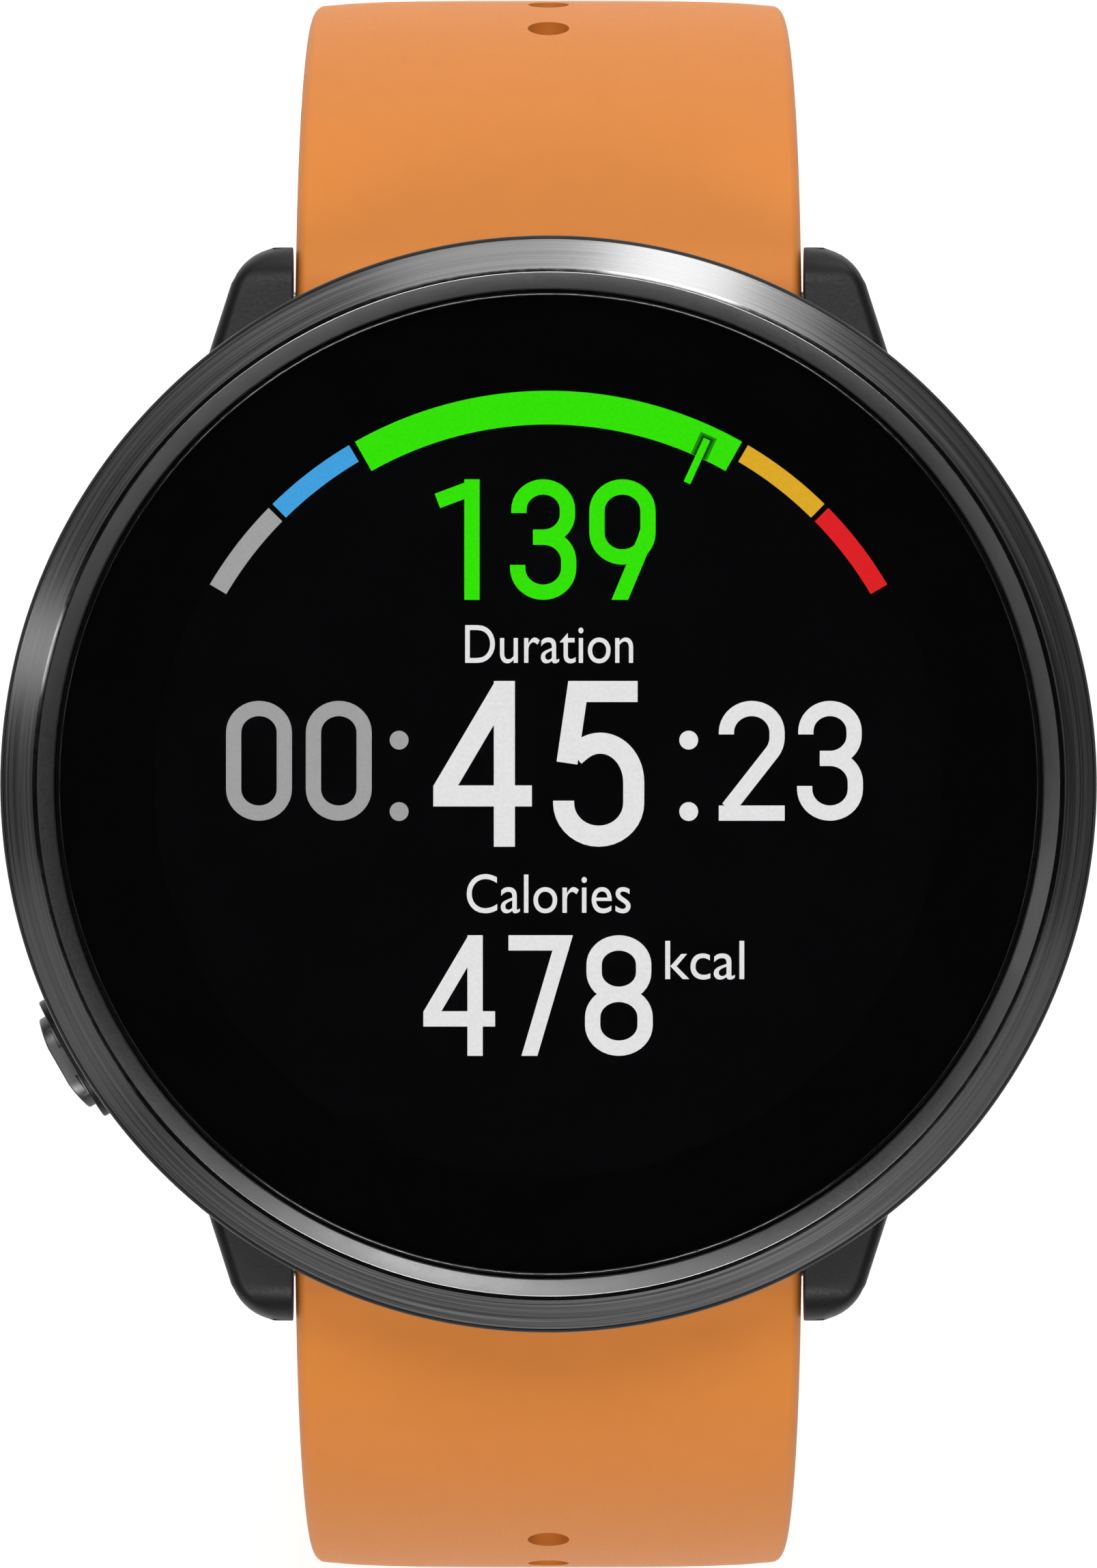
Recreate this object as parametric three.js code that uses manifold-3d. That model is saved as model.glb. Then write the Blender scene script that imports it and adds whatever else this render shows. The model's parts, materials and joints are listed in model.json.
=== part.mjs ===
// A running watch with a round metal bezel, a polymer case with four lugs, and a moulded strap in two halves.
// Millimetres. The origin is the centre of the sensor face that lies on the wrist.
// +Z points out of the display, +Y to 12 o'clock and +X to 3 o'clock.
import * as THREE from "three";
import { mergeVertices } from "three/addons/utils/BufferGeometryUtils.js";
import Module from "manifold-3d";

const wasm = await Module();
wasm.setup();

// ---------------------------------------------------------------- driving dimensions

// Case, from the wrist up
const caseDiameter = 43; // over the bezel
const caseHeight = 8.5; // sensor face to the crest of the bezel
const sensorProud = 0.9; // how far the sensor window stands out of the back cover
const bodySetIn = 0.6; // how far the body's side lies inside the bezel's
const bezelHeight = 2.8;
const seatHeight = 0.75; // the body's neck that the lens is bonded to, above the bezel's foot
const neckWall = 1.95;
const sideWall = 2.2; // body's side wall at 3 and 9 o'clock
const endWall = 1.15; // flat wall between the inside and the strap's pocket
const frontFlange = 0.2; // floor of the neck, inside the body's top face

// Bezel section
const brushedWidth = 1.15;
const brushedDrop = 0.95;
const crestWidth = 0.2;
const bevelWidth = 0.62;
const bevelDrop = 0.6;
const bezelEdge = 0.15;

// Lens and display
const lensThickness = 1.2;
const lensSunk = 0.65; // below the bezel's crest
const lensEdge = 0.1;
const lensGap = 0.1; // round the lens
const panelThickness = 0.85;
const panelGap = 0.1;
const gasketThickness = 0.2;

// Back cover
const coverThickness = 1;
const coverGap = 0.1;
const ledgeThickness = 0.4;
const ledgeWidth = 1.1;
const sensorRadius = 8.6;
const sensorFaceRadius = 6.6;
const sensorBoardThickness = 0.4;
const contactPitch = 2.54;
const contactRadius = 0.7;
const contactInset = 3.3; // from the back cover's flat edge at 6 o'clock
const contactProud = 0.1;

// Screws
const screwRadius = 0.5;
const screwLength = 2.6;
const screwHeadRadius = 1.2;
const screwHeadHeight = 0.55;
const bossRadius = 1.9;
const bossTop = 4.2;

// Lugs and spring bars
const strapWidth = 20;
const lugClearance = 0.1; // each side of the strap
const lugTip = 2.15; // radius of a lug's end about the bar
const lugWidth = 3.2;
const barInset = 2.45; // from the bezel's edge to the bar
const barZ = 2.5;
const barRadius = 0.75;
const barTipRadius = 0.42;
const barTipReach = 0.9; // into the lug
const barWall = 0.25;
const barRunning = 0.07;
const leverTravel = 1.2;
const leverRadius = 0.32;
const leverX = 7.2;

// Strap
const knuckleRadius = 2;
const strapStart = 3.2; // thickness beside the knuckle
const strapMiddle = 2.5;
const strapEnd = 2.3;
const strapEndWidth = 18;
const leaveAngle = -28; // degrees below level, where the strap leaves the case
const strapBulge = 11.85; // how far the strap's middle surface stands out past the bar
const upperTurnRadius = 22;
const upperTurn = 38;
const upperStraight = 24;
const lowerDrop = 22;
const lowerTurnRadius = 26;
const lowerTail = 22;
const tailRound = 7;
const holeRadius = 0.93;
const firstHole = 15.9; // along the strap from the bar
const holePitch = 4.4;
const holesEndBeforeTail = 5;

// Keepers
const keeperWall = 0.9;
const keeperLength = 4.4;
const keeperGap = 0.3;
const fixedKeeperAt = 7.4; // back from the buckle's bar
const freeKeeperAt = 16;

// Buckle
const buckleArm = 2;
const buckleThickness = 2.2;
const buckleReach = 8.6; // bar to the middle of the front rail
const buckleBarRadius = 0.7;
const tangWidth = 1.5;
const tangThickness = 1;
const tangRing = 1.35;
const bucklePlay = 0.3;
const strapEyeRadius = 1.45;

// Side button
const buttonAngle = 210; // degrees from 3 o'clock, so at 8 o'clock
const buttonZ = 3.6;
const buttonLength = 4;
const buttonHeight = 2.4;
const buttonCapDepth = 0.65;
const buttonTravel = 0.5;
const collarLength = 5.3;
const collarHeight = 3.7;
const collarProud = 0.85;
const buttonGap = 0.12;
const stemRadius = 0.55;
const stemRunning = 0.05;
const bushWall = 0.3;

// Inside
const insideGap = 0.15;
const frameWall = 1;
const batteryLength = 12.5;
const batteryHeight = 2.7;
const batteryTop = -1.5; // its edge nearest 12 o'clock
const boardThickness = 0.6;
const motorRadius = 3.2;
const motorHeight = 2.2;
const motorAngle = -14.4; // degrees from 3 o'clock
const motorRoom = 0.3; // between the motor and the frame's wall
const batteryRoom = 0.6; // between the battery and the screw bosses and motor beside it
const canWall = 0.25;
const ribbonThickness = 0.12;

// Roundness
const ROUND = 56; // sides of the large rings
const SMALL = 12; // sides of small round pieces

// ---------------------------------------------------------------- levels and radii that follow

const bezelRadius = caseDiameter / 2;
const barY = bezelRadius - barInset;
const bodyRadius = bezelRadius - bodySetIn;
const insideRadius = bodyRadius - sideWall;
const coverZ = sensorProud;
const coverTop = coverZ + coverThickness;
const ledgeZ = coverTop + gasketThickness;
const insideZ = ledgeZ + ledgeThickness;
const bodyTop = caseHeight - bezelHeight;
const insideTop = bodyTop - frontFlange;
const lensTop = caseHeight - lensSunk;
const lensZ = lensTop - lensThickness;
const neckTop = bodyTop + seatHeight;
const crestRadius = bezelRadius - bezelEdge - brushedWidth;
const bevelRadius = crestRadius - crestWidth - bevelWidth;
const lensRadius = bevelRadius - lensGap;
const neckRadius = bevelRadius;
const openingRadius = neckRadius - neckWall;
const panelTop = lensZ - panelGap;
const panelZ = panelTop - panelThickness;
const lugInner = strapWidth / 2 + lugClearance;
const pocketClearance = 0.2;
const pocketY = barY - knuckleRadius - pocketClearance;
const pocketTop = barZ + knuckleRadius + pocketClearance;
const insideFlat = pocketY - endWall;
const screwCircle = insideRadius - bossRadius + insideGap;
const motorReach = insideRadius - insideGap - frameWall - motorRoom - motorRadius;
const motorTurn = THREE.MathUtils.degToRad(motorAngle);
const motorPlace = [motorReach * Math.cos(motorTurn), motorReach * Math.sin(motorTurn)];
const crossBarY = motorPlace[1] + motorRadius + 0.2;
const boardZ = bossTop + insideGap;
const boardTop = boardZ + boardThickness;

// ---------------------------------------------------------------- helpers

// A closed three.js geometry as a solid that can be joined and cut.
// Mirrored geometry is turned right way out.
function solid(geometry) {
  const bare = geometry.index ? geometry.toNonIndexed() : geometry.clone();
  bare.deleteAttribute("normal");
  bare.deleteAttribute("uv");
  const merged = mergeVertices(bare, 1e-4);
  const build = (triVerts) =>
    new wasm.Manifold(
      new wasm.Mesh({ numProp: 3, vertProperties: merged.attributes.position.array, triVerts }),
    );
  const faces = new Uint32Array(merged.index.array);
  const made = build(faces);
  return made.volume() < 0 ? build(faces.reverse()) : made;
}

function geometryOf(made) {
  const mesh = made.getMesh();
  return new THREE.BufferGeometry()
    .setAttribute("position", new THREE.BufferAttribute(new Float32Array(mesh.vertProperties), 3))
    .setIndex(new THREE.BufferAttribute(new Uint32Array(mesh.triVerts), 1));
}

const join = (first, ...others) => others.reduce((sum, other) => sum.add(other), first);
const cut = (first, ...tools) => tools.reduce((rest, tool) => rest.subtract(tool), first);

// A profile of [radius, height] points turned round Z.
function turned(profile, sides = ROUND) {
  const points = profile.map(([radius, height]) => new THREE.Vector2(radius, height));
  return new THREE.LatheGeometry(points, sides).rotateX(Math.PI / 2);
}

function ring(outer, inner, low, high, sides = ROUND) {
  const section = [[inner, low], [outer, low], [outer, high], [inner, high], [inner, low]];
  return turned(section, sides);
}

// A cylinder along Z from low to high, with its middle at x, y.
function rod(radius, low, high, x = 0, y = 0, sides = SMALL) {
  const height = high - low;
  return new THREE.CylinderGeometry(radius, radius, height, sides)
    .rotateX(Math.PI / 2)
    .translate(x, y, low + height / 2);
}

// A cylinder along X.
function crossRod(radius, from, to, y, z, sides = SMALL) {
  const length = to - from;
  return new THREE.CylinderGeometry(radius, radius, length, sides)
    .rotateZ(Math.PI / 2)
    .translate(from + length / 2, y, z);
}

// A block from its lowest to its highest corner.
function block([x0, y0, z0], [x1, y1, z1]) {
  return new THREE.BoxGeometry(x1 - x0, y1 - y0, z1 - z0)
    .translate((x0 + x1) / 2, (y0 + y1) / 2, (z0 + z1) / 2);
}

// A flat outline given thickness from low to high.
function plate(outline, low, high, curveSegments = 12) {
  return new THREE.ExtrudeGeometry(outline, { depth: high - low, bevelEnabled: false, curveSegments })
    .translate(0, 0, low);
}

// A disc with its sides cut flat at 12 and 6 o'clock.
function clippedDisc(radius, flat) {
  const angle = Math.asin(flat / radius);
  const outline = new THREE.Shape();
  outline.absarc(0, 0, radius, -angle, angle, false);
  outline.absarc(0, 0, radius, Math.PI - angle, Math.PI + angle, false);
  outline.closePath();
  return outline;
}

const clippedPlate = (radius, flat, low, high) => plate(clippedDisc(radius, flat), low, high, 12);

// A stadium centred on the origin.
function stadium(length, width) {
  const radius = width / 2;
  const reach = length / 2 - radius;
  const outline = new THREE.Shape();
  outline.absarc(reach, 0, radius, -Math.PI / 2, Math.PI / 2, false);
  outline.absarc(-reach, 0, radius, Math.PI / 2, 1.5 * Math.PI, false);
  outline.closePath();
  return outline;
}

// A coil spring along Z.
function coil(radius, wire, low, high, turns) {
  class Helix extends THREE.Curve {
    getPoint(t, target = new THREE.Vector3()) {
      const angle = t * turns * 2 * Math.PI;
      return target.set(radius * Math.cos(angle), radius * Math.sin(angle), low + t * (high - low));
    }
  }
  const section = new THREE.Shape();
  section.absarc(0, 0, wire, 0, 2 * Math.PI, false);
  return new THREE.ExtrudeGeometry(section, {
    steps: turns * 8,
    curveSegments: 2,
    extrudePath: new Helix(),
    bevelEnabled: false,
  });
}

const finishes = {
  polymer: { color: 0x1b1c1d, roughness: 0.55, metalness: 0 },
  bezelMetal: { color: 0x55585a, roughness: 0.32, metalness: 1 },
  lensGlass: { color: 0x050506, roughness: 0.04, metalness: 0 },
  displayBlack: { color: 0x020203, roughness: 0.2, metalness: 0 },
  rubberSeal: { color: 0x15161a, roughness: 0.8, metalness: 0 },
  steel: { color: 0xb9bcc0, roughness: 0.25, metalness: 1 },
  innerPlastic: { color: 0x2e3033, roughness: 0.6, metalness: 0 },
  circuitBoard: { color: 0x14402a, roughness: 0.5, metalness: 0 },
  shieldTin: { color: 0xa9abad, roughness: 0.35, metalness: 1 },
  copperFlex: { color: 0xb06a2c, roughness: 0.45, metalness: 0 },
  cellFoil: { color: 0xc3c6c9, roughness: 0.4, metalness: 1 },
  sensorGlass: { color: 0x0a0a0c, roughness: 0.06, metalness: 0 },
  ledLens: { color: 0xbfe6b0, roughness: 0.2, metalness: 0 },
  gold: { color: 0xd6a94e, roughness: 0.3, metalness: 1 },
  strapSilicone: { color: 0xe0904c, roughness: 0.62, metalness: 0 },
};

const watch = new THREE.Group();

function piece(name, shape, finish, parent = watch) {
  const geometry = shape.isBufferGeometry ? shape : geometryOf(shape);
  const mesh = new THREE.Mesh(geometry, new THREE.MeshStandardMaterial(finishes[finish]));
  mesh.name = name;
  parent.add(mesh);
  return mesh;
}

// ---------------------------------------------------------------- case body

// One lug: its plan crossed with its side view, in the quarter that signX and signY name.
function lug(signX, signY) {
  const outer = lugInner + lugWidth;
  const tipY = barY + lugTip;
  const rootY = insideFlat - 3;
  const plan = new THREE.Shape();
  plan.moveTo(lugInner, rootY);
  plan.lineTo(lugInner, tipY - 0.6);
  plan.quadraticCurveTo(lugInner, tipY, lugInner + 0.8, tipY);
  plan.quadraticCurveTo(outer - 1.1, tipY - 0.25, outer - 0.62, barY + 0.1);
  plan.lineTo(outer + 1.1, rootY);
  plan.closePath();
  const side = new THREE.Shape();
  side.moveTo(rootY, coverZ);
  side.lineTo(rootY, bodyTop - 0.1);
  side.lineTo(barY - 1.2, bodyTop - 0.5);
  side.absarc(barY, barZ, lugTip, 1.22, -1.75, true);
  side.closePath();
  const upright = plate(plan, 0, bodyTop, 8);
  // Extruded along Z, then turned so that its outline lies in Y and Z and its depth runs along X.
  const across = plate(side, lugInner - 1, outer + 2, 10).rotateX(Math.PI / 2).rotateZ(Math.PI / 2);
  const made = [upright, across].map((geometry) => solid(geometry.scale(signX, signY, 1)));
  return made[0].intersect(made[1]);
}

// Geometry built along +Z from 0, turned to lie along the button's axis.
// Local Y stays level, and Z is the radius.
function alongButton(geometry) {
  return geometry
    .rotateY(Math.PI / 2)
    .rotateZ(THREE.MathUtils.degToRad(buttonAngle))
    .translate(0, 0, buttonZ);
}

// A stadium whose long side is level, from one radius to another along the button's axis.
function buttonPlate(length, height, from, to) {
  return solid(alongButton(plate(stadium(length, height), from, to, 4).rotateZ(Math.PI / 2)));
}

const buttonRod = (radius, from, to) => solid(alongButton(rod(radius, from, to)));

const collarFace = bodyRadius + collarProud;
const capInner = collarFace - buttonGap / 2;
const capOuter = capInner + buttonCapDepth;
const recessFloor = capInner - buttonTravel - buttonGap;
const bushRadius = stemRadius + stemRunning + 0.45 + bushWall;
const bushInner = insideRadius - 0.5;
const springSeat = recessFloor - 1.7;

const screwAngles = [45, 135, 225, 315].map(THREE.MathUtils.degToRad);
const screwPlaces = screwAngles.map((a) => [screwCircle * Math.cos(a), screwCircle * Math.sin(a)]);

function caseBody() {
  const edge = 0.5;
  const outside = solid(turned([
    [0, coverZ],
    [bodyRadius - 1.4, coverZ],
    [bodyRadius - edge, coverZ + 0.9],
    [bodyRadius, coverZ + 2.2],
    [bodyRadius, bodyTop],
    [neckRadius, bodyTop],
    [neckRadius, neckTop],
    [0, neckTop],
  ]));
  const pockets = [1, -1].map((sign) =>
    solid(block([-lugInner, pocketY, -1], [lugInner, bezelRadius + 4, pocketTop]).scale(1, sign, 1)),
  );
  const hollow = [
    solid(clippedPlate(insideRadius, insideFlat, insideZ, insideTop)),
    solid(clippedPlate(insideRadius - ledgeWidth, insideFlat - ledgeWidth, ledgeZ - 0.1, insideZ + 0.1)),
    solid(clippedPlate(insideRadius, insideFlat, coverZ - 1, ledgeZ)),
    solid(rod(openingRadius, insideTop - 0.1, neckTop + 1, 0, 0, ROUND)),
  ];
  const lugs = [[1, 1], [-1, 1], [-1, -1], [1, -1]].map(([x, y]) => lug(x, y));
  const collar = cut(
    buttonPlate(collarLength, collarHeight, insideRadius + 0.5, collarFace),
    buttonPlate(buttonLength + 2 * buttonGap, buttonHeight + 2 * buttonGap, recessFloor, collarFace + 1),
  );
  const bosses = screwPlaces.map(([x, y]) => solid(rod(bossRadius, ledgeZ, bossTop, x, y)));
  const pilots = screwPlaces.map(([x, y]) => solid(rod(screwRadius + 0.05, ledgeZ - 1, bossTop + 1, x, y)));
  const barHoles = [-1, 1].flatMap((side) => [-1, 1].map((end) => {
    const reach = end * (lugInner + barTipReach + 0.3);
    const from = Math.min(end * (lugInner - 0.5), reach);
    return solid(crossRod(barTipRadius + barRunning, from, from + barTipReach + 0.8, side * barY, barZ));
  }));
  const shell = join(cut(outside, ...pockets), ...lugs, collar);
  return cut(
    join(cut(shell, ...hollow), ...bosses),
    ...pilots,
    ...barHoles,
    buttonRod(bushRadius + 0.02, bushInner - 1, recessFloor + 0.1),
    buttonPlate(buttonLength + 2 * buttonGap, buttonHeight + 2 * buttonGap, recessFloor, collarFace + 1),
  );
}

function bezelRing() {
  const foot = 0.2;
  return turned([
    [bevelRadius + 0.02, bodyTop],
    [bezelRadius - foot, bodyTop],
    [bezelRadius, bodyTop + foot],
    [bezelRadius, caseHeight - brushedDrop - bezelEdge],
    [bezelRadius - bezelEdge, caseHeight - brushedDrop],
    [crestRadius, caseHeight],
    [crestRadius - crestWidth, caseHeight],
    [bevelRadius + 0.02, caseHeight - bevelDrop],
    [bevelRadius + 0.02, bodyTop],
  ]);
}

function displayLens() {
  return turned([
    [0, lensZ],
    [lensRadius, lensZ],
    [lensRadius, lensTop - lensEdge],
    [lensRadius - lensEdge, lensTop],
    [0, lensTop],
  ]);
}

piece("case_body", caseBody(), "polymer");
piece("bezel_ring", bezelRing(), "bezelMetal");
piece("display_lens", displayLens(), "lensGlass");
piece("lens_gasket", ring(lensRadius, openingRadius + 0.3, neckTop, lensZ), "rubberSeal");
piece("display_panel", rod(openingRadius - 0.4, panelZ, panelTop, 0, 0, ROUND), "displayBlack");

// ---------------------------------------------------------------- inside of the case

function innerFrame() {
  const low = insideZ + 0.1;
  const high = insideTop - insideGap;
  const wall = cut(
    solid(clippedPlate(insideRadius - insideGap, insideFlat - insideGap, low, high)),
    solid(clippedPlate(
      insideRadius - insideGap - frameWall,
      insideFlat - insideGap - frameWall,
      0,
      high + 1,
    )),
  );
  const spanX = insideRadius - insideGap - frameWall / 2;
  const bar = solid(block([-spanX, crossBarY, low], [spanX, crossBarY + frameWall, bossTop]));
  const bossRoom = screwPlaces.map(([x, y]) => solid(rod(bossRadius + insideGap, 0, bossTop + 0.1, x, y)));
  const buttonRoom = solid(alongButton(block([-1.35, -1.9, insideRadius - 3.7], [1.35, 1.9, bodyRadius])));
  return cut(join(wall, bar), ...bossRoom, buttonRoom);
}

// The main board: a half-moon that lies over the two upper screw bosses.
function mainBoard() {
  const radius = insideRadius - frameWall - 2 * insideGap;
  const flat = insideFlat - frameWall - 2 * insideGap;
  const disc = solid(clippedPlate(radius, flat, boardZ, boardTop));
  return cut(disc, solid(block([-30, -30, 0], [30, crossBarY + frameWall + 2 * insideGap, 10])));
}

// The ribbon from the display, folded once onto the main board.
function displayRibbon() {
  const low = boardTop + 0.04;
  const high = panelZ - 0.04;
  const fold = (high - low) / 2;
  const [back, front] = [8, 12.6];
  const line = new THREE.Shape();
  line.moveTo(back, low);
  line.lineTo(front, low);
  line.absarc(front, low + fold, fold, -Math.PI / 2, Math.PI / 2, false);
  line.lineTo(back + 1, high);
  line.lineTo(back + 1, high - ribbonThickness);
  line.lineTo(front, high - ribbonThickness);
  line.absarc(front, low + fold, fold - ribbonThickness, Math.PI / 2, -Math.PI / 2, true);
  line.lineTo(back, low + ribbonThickness);
  line.closePath();
  return plate(line, -3.5, 3.5, 6).rotateX(Math.PI / 2).rotateZ(Math.PI / 2);
}

function antenna() {
  const low = insideTop - insideGap;
  const outer = insideRadius - insideGap - 0.1;
  const flat = insideFlat - insideGap - 0.1;
  const strip = cut(
    solid(clippedPlate(outer, flat, low, low + 0.12)),
    solid(clippedPlate(outer - 0.8, flat - 0.8, low - 1, low + 1)),
  );
  return cut(strip, solid(block([-30, -30, 0], [30, 3, 10])));
}

function battery() {
  const corner = 1.2;
  const left = batteryRoom + bossRadius - screwPlaces[0][0] + corner;
  const right = motorPlace[0] - motorRadius - batteryRoom - corner;
  const top = batteryTop - corner;
  const bottom = batteryTop - batteryLength + corner;
  const outline = new THREE.Shape();
  outline.absarc(right, top, corner, 0, Math.PI / 2, false);
  outline.absarc(left, top, corner, Math.PI / 2, Math.PI, false);
  outline.absarc(left, bottom, corner, Math.PI, 1.5 * Math.PI, false);
  outline.absarc(right, bottom, corner, 1.5 * Math.PI, 2 * Math.PI, false);
  outline.closePath();
  const low = insideZ + 0.05;
  return plate(outline, low, low + batteryHeight, 4);
}

piece("inner_frame", innerFrame(), "innerPlastic");
piece("main_board", mainBoard(), "circuitBoard");
piece("shield_can", block([-9, 3.4, boardZ - 1.1], [4, 12.4, boardZ]), "shieldTin");
piece("memory_chip", block([6, 4, boardZ - 0.7], [10, 8, boardZ]), "displayBlack");
piece("display_ribbon", displayRibbon(), "copperFlex");
piece("gnss_antenna", antenna(), "gold");
piece("battery_cell", battery(), "cellFoil");

// The vibration motor: a tin can, a base with its axle, and a half-round weight that spins on it.
const motorZ = insideZ + 0.05;
const axleRadius = 0.3;

function motorCan() {
  const top = motorZ + motorHeight;
  return turned([
    [motorRadius - canWall, motorZ + 0.3],
    [motorRadius, motorZ + 0.3],
    [motorRadius, top],
    [0, top],
    [0, top - canWall],
    [motorRadius - canWall, top - canWall],
    [motorRadius - canWall, motorZ + 0.3],
  ], 36).translate(...motorPlace, 0);
}

function motorWeight() {
  const half = new THREE.Shape();
  half.absarc(0, 0, motorRadius - canWall - 0.25, -0.2, Math.PI + 0.2, false);
  half.closePath();
  const [low, high] = [motorZ + 0.6, motorZ + motorHeight - canWall - 0.3];
  const hub = solid(rod(0.8, low, high));
  const bore = solid(rod(axleRadius + 0.04, low - 1, high + 1));
  return geometryOf(cut(join(solid(plate(half, low, high, 10)), hub), bore)).translate(...motorPlace, 0);
}

function motorBase() {
  const disc = solid(rod(motorRadius, motorZ, motorZ + 0.25, ...motorPlace, 36));
  return join(disc, solid(rod(axleRadius, motorZ, motorZ + motorHeight - canWall - 0.1, ...motorPlace)));
}

piece("motor_can", motorCan(), "shieldTin");
piece("motor_base", motorBase(), "innerPlastic");
piece("motor_weight", motorWeight(), "steel");

// ---------------------------------------------------------------- back cover and sensor

const coverRadius = insideRadius - coverGap;
const coverFlat = insideFlat - coverGap;
const contactRow = contactInset - coverFlat;
const sensorOpening = sensorRadius - 1.2;
const contactPlaces = [-1.5, -0.5, 0.5, 1.5].map((n) => n * contactPitch);
const ledReach = 3.2;
const ledPlaces = [[ledReach, 0], [0, ledReach], [-ledReach, 0], [0, -ledReach]];
const ledHalf = 0.7;
const eyeHalf = 1.1;

function backCover() {
  return cut(
    solid(clippedPlate(coverRadius, coverFlat, coverZ, coverTop)),
    solid(rod(sensorOpening, 0, 3, 0, 0, 48)),
    ...screwPlaces.map(([x, y]) => (
      solid(rod(screwHeadRadius + 0.1, 0, coverZ + screwHeadHeight + 0.05, x, y))
    )),
    ...screwPlaces.map(([x, y]) => solid(rod(screwRadius + 0.1, 0, 3, x, y))),
    ...contactPlaces.map((x) => solid(rod(contactRadius + 0.1, 0, 3, x, contactRow))),
  );
}

function coverGasket() {
  const width = 0.8;
  return cut(
    solid(clippedPlate(coverRadius, coverFlat, coverTop, ledgeZ)),
    solid(clippedPlate(coverRadius - width, coverFlat - width, 0, 5)),
  );
}

function sensorWindow() {
  return turned([
    [0, 0],
    [sensorFaceRadius, 0],
    [sensorRadius - 0.7, 0.28],
    [sensorRadius, coverZ - 0.1],
    [sensorRadius, coverZ],
    [0, coverZ],
  ], 48);
}

// The black insert that keeps each light's beam out of the light sensor.
function lightBarrier() {
  const pocket = (x, y, half) => solid(block([x - half, y - half, 0], [x + half, y + half, 3]));
  return cut(
    solid(rod(sensorOpening - 0.1, coverZ, coverTop - 0.05, 0, 0, 48)),
    pocket(0, 0, eyeHalf + 0.15),
    ...ledPlaces.map(([x, y]) => pocket(x, y, ledHalf + 0.15)),
  );
}

function caseScrew([x, y]) {
  const low = coverZ + 0.05;
  const neck = low + screwHeadHeight;
  const slot = (w, l) => solid(block([x - w, y - l, 0], [x + w, y + l, low + 0.25]));
  return cut(
    join(
      solid(rod(screwHeadRadius, low, neck, x, y)),
      solid(rod(screwRadius, low, neck + screwLength - 0.2, x, y)),
    ),
    slot(0.15, 0.7),
    slot(0.7, 0.15),
  );
}

piece("back_cover", backCover(), "polymer");
piece("cover_gasket", coverGasket(), "rubberSeal");
piece("sensor_window", sensorWindow(), "sensorGlass");
piece("light_barrier", lightBarrier(), "innerPlastic");
const sensorBoardTop = coverTop + sensorBoardThickness;
piece("sensor_board", rod(sensorRadius - 0.1, coverTop, sensorBoardTop, 0, 0, 48), "circuitBoard");
const lightSensor = block([-eyeHalf, -eyeHalf, coverTop - 0.5], [eyeHalf, eyeHalf, coverTop]);
piece("light_sensor", lightSensor, "displayBlack");
ledPlaces.forEach(([x, y], i) => {
  const [low, high] = [coverTop - 0.5, coverTop];
  const led = block([x - ledHalf, y - ledHalf, low], [x + ledHalf, y + ledHalf, high]);
  piece(`pulse_led_${i + 1}`, led, "ledLens");
});
contactPlaces.forEach((x, i) => {
  const pin = solid(rod(contactRadius, coverZ - contactProud, coverTop + 0.2, x, contactRow));
  const flange = solid(rod(contactRadius + 0.3, coverTop, coverTop + 0.3, x, contactRow));
  piece(`charge_contact_${i + 1}`, join(pin, flange), "gold");
});
screwPlaces.forEach((place, i) => piece(`case_screw_${i + 1}`, caseScrew(place), "steel"));

// ---------------------------------------------------------------- side button

function buttonCap() {
  const clipAt = bushInner - 0.4;
  return join(
    buttonPlate(buttonLength, buttonHeight, capInner, capOuter - 0.2),
    buttonPlate(buttonLength - 0.4, buttonHeight - 0.4, capOuter - 0.3, capOuter),
    buttonRod(stemRadius, clipAt - 0.45, capInner + 0.1),
  );
}

function buttonBush() {
  const guide = stemRadius + stemRunning;
  const gland = guide + 0.45;
  return cut(
    buttonRod(bushRadius, bushInner, recessFloor),
    buttonRod(guide, bushInner - 1, recessFloor + 1),
    buttonRod(gland, bushInner + 0.35, bushInner + 1.05),
    buttonRod(gland, springSeat, recessFloor + 1),
  );
}

function buttonSeal() {
  const thick = 0.2;
  const torus = new THREE.TorusGeometry(stemRadius + 0.03 + thick, thick, 8, SMALL);
  return alongButton(torus.translate(0, 0, bushInner + 0.7));
}

function buttonClip() {
  const place = bushInner - 0.4;
  return cut(buttonRod(1.2, place, place + 0.3), buttonRod(stemRadius + 0.02, place - 1, place + 1));
}

const buttonSpring = alongButton(coil(stemRadius + 0.24, 0.1, springSeat + 0.12, capInner - 0.12, 4));
const switchFace = bushInner - 0.85 - buttonTravel - 0.05;

piece("button_cap", buttonCap(), "bezelMetal");
piece("button_clip", buttonClip(), "steel");
piece("button_bush", buttonBush(), "steel");
piece("button_seal", buttonSeal(), "rubberSeal");
piece("button_spring", buttonSpring, "steel");
const buttonSwitch = block([-0.9, -1.5, switchFace - 1.7], [0.9, 1.5, switchFace]);
piece("button_switch", alongButton(buttonSwitch), "innerPlastic");

// ---------------------------------------------------------------- the strap's lines

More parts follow.
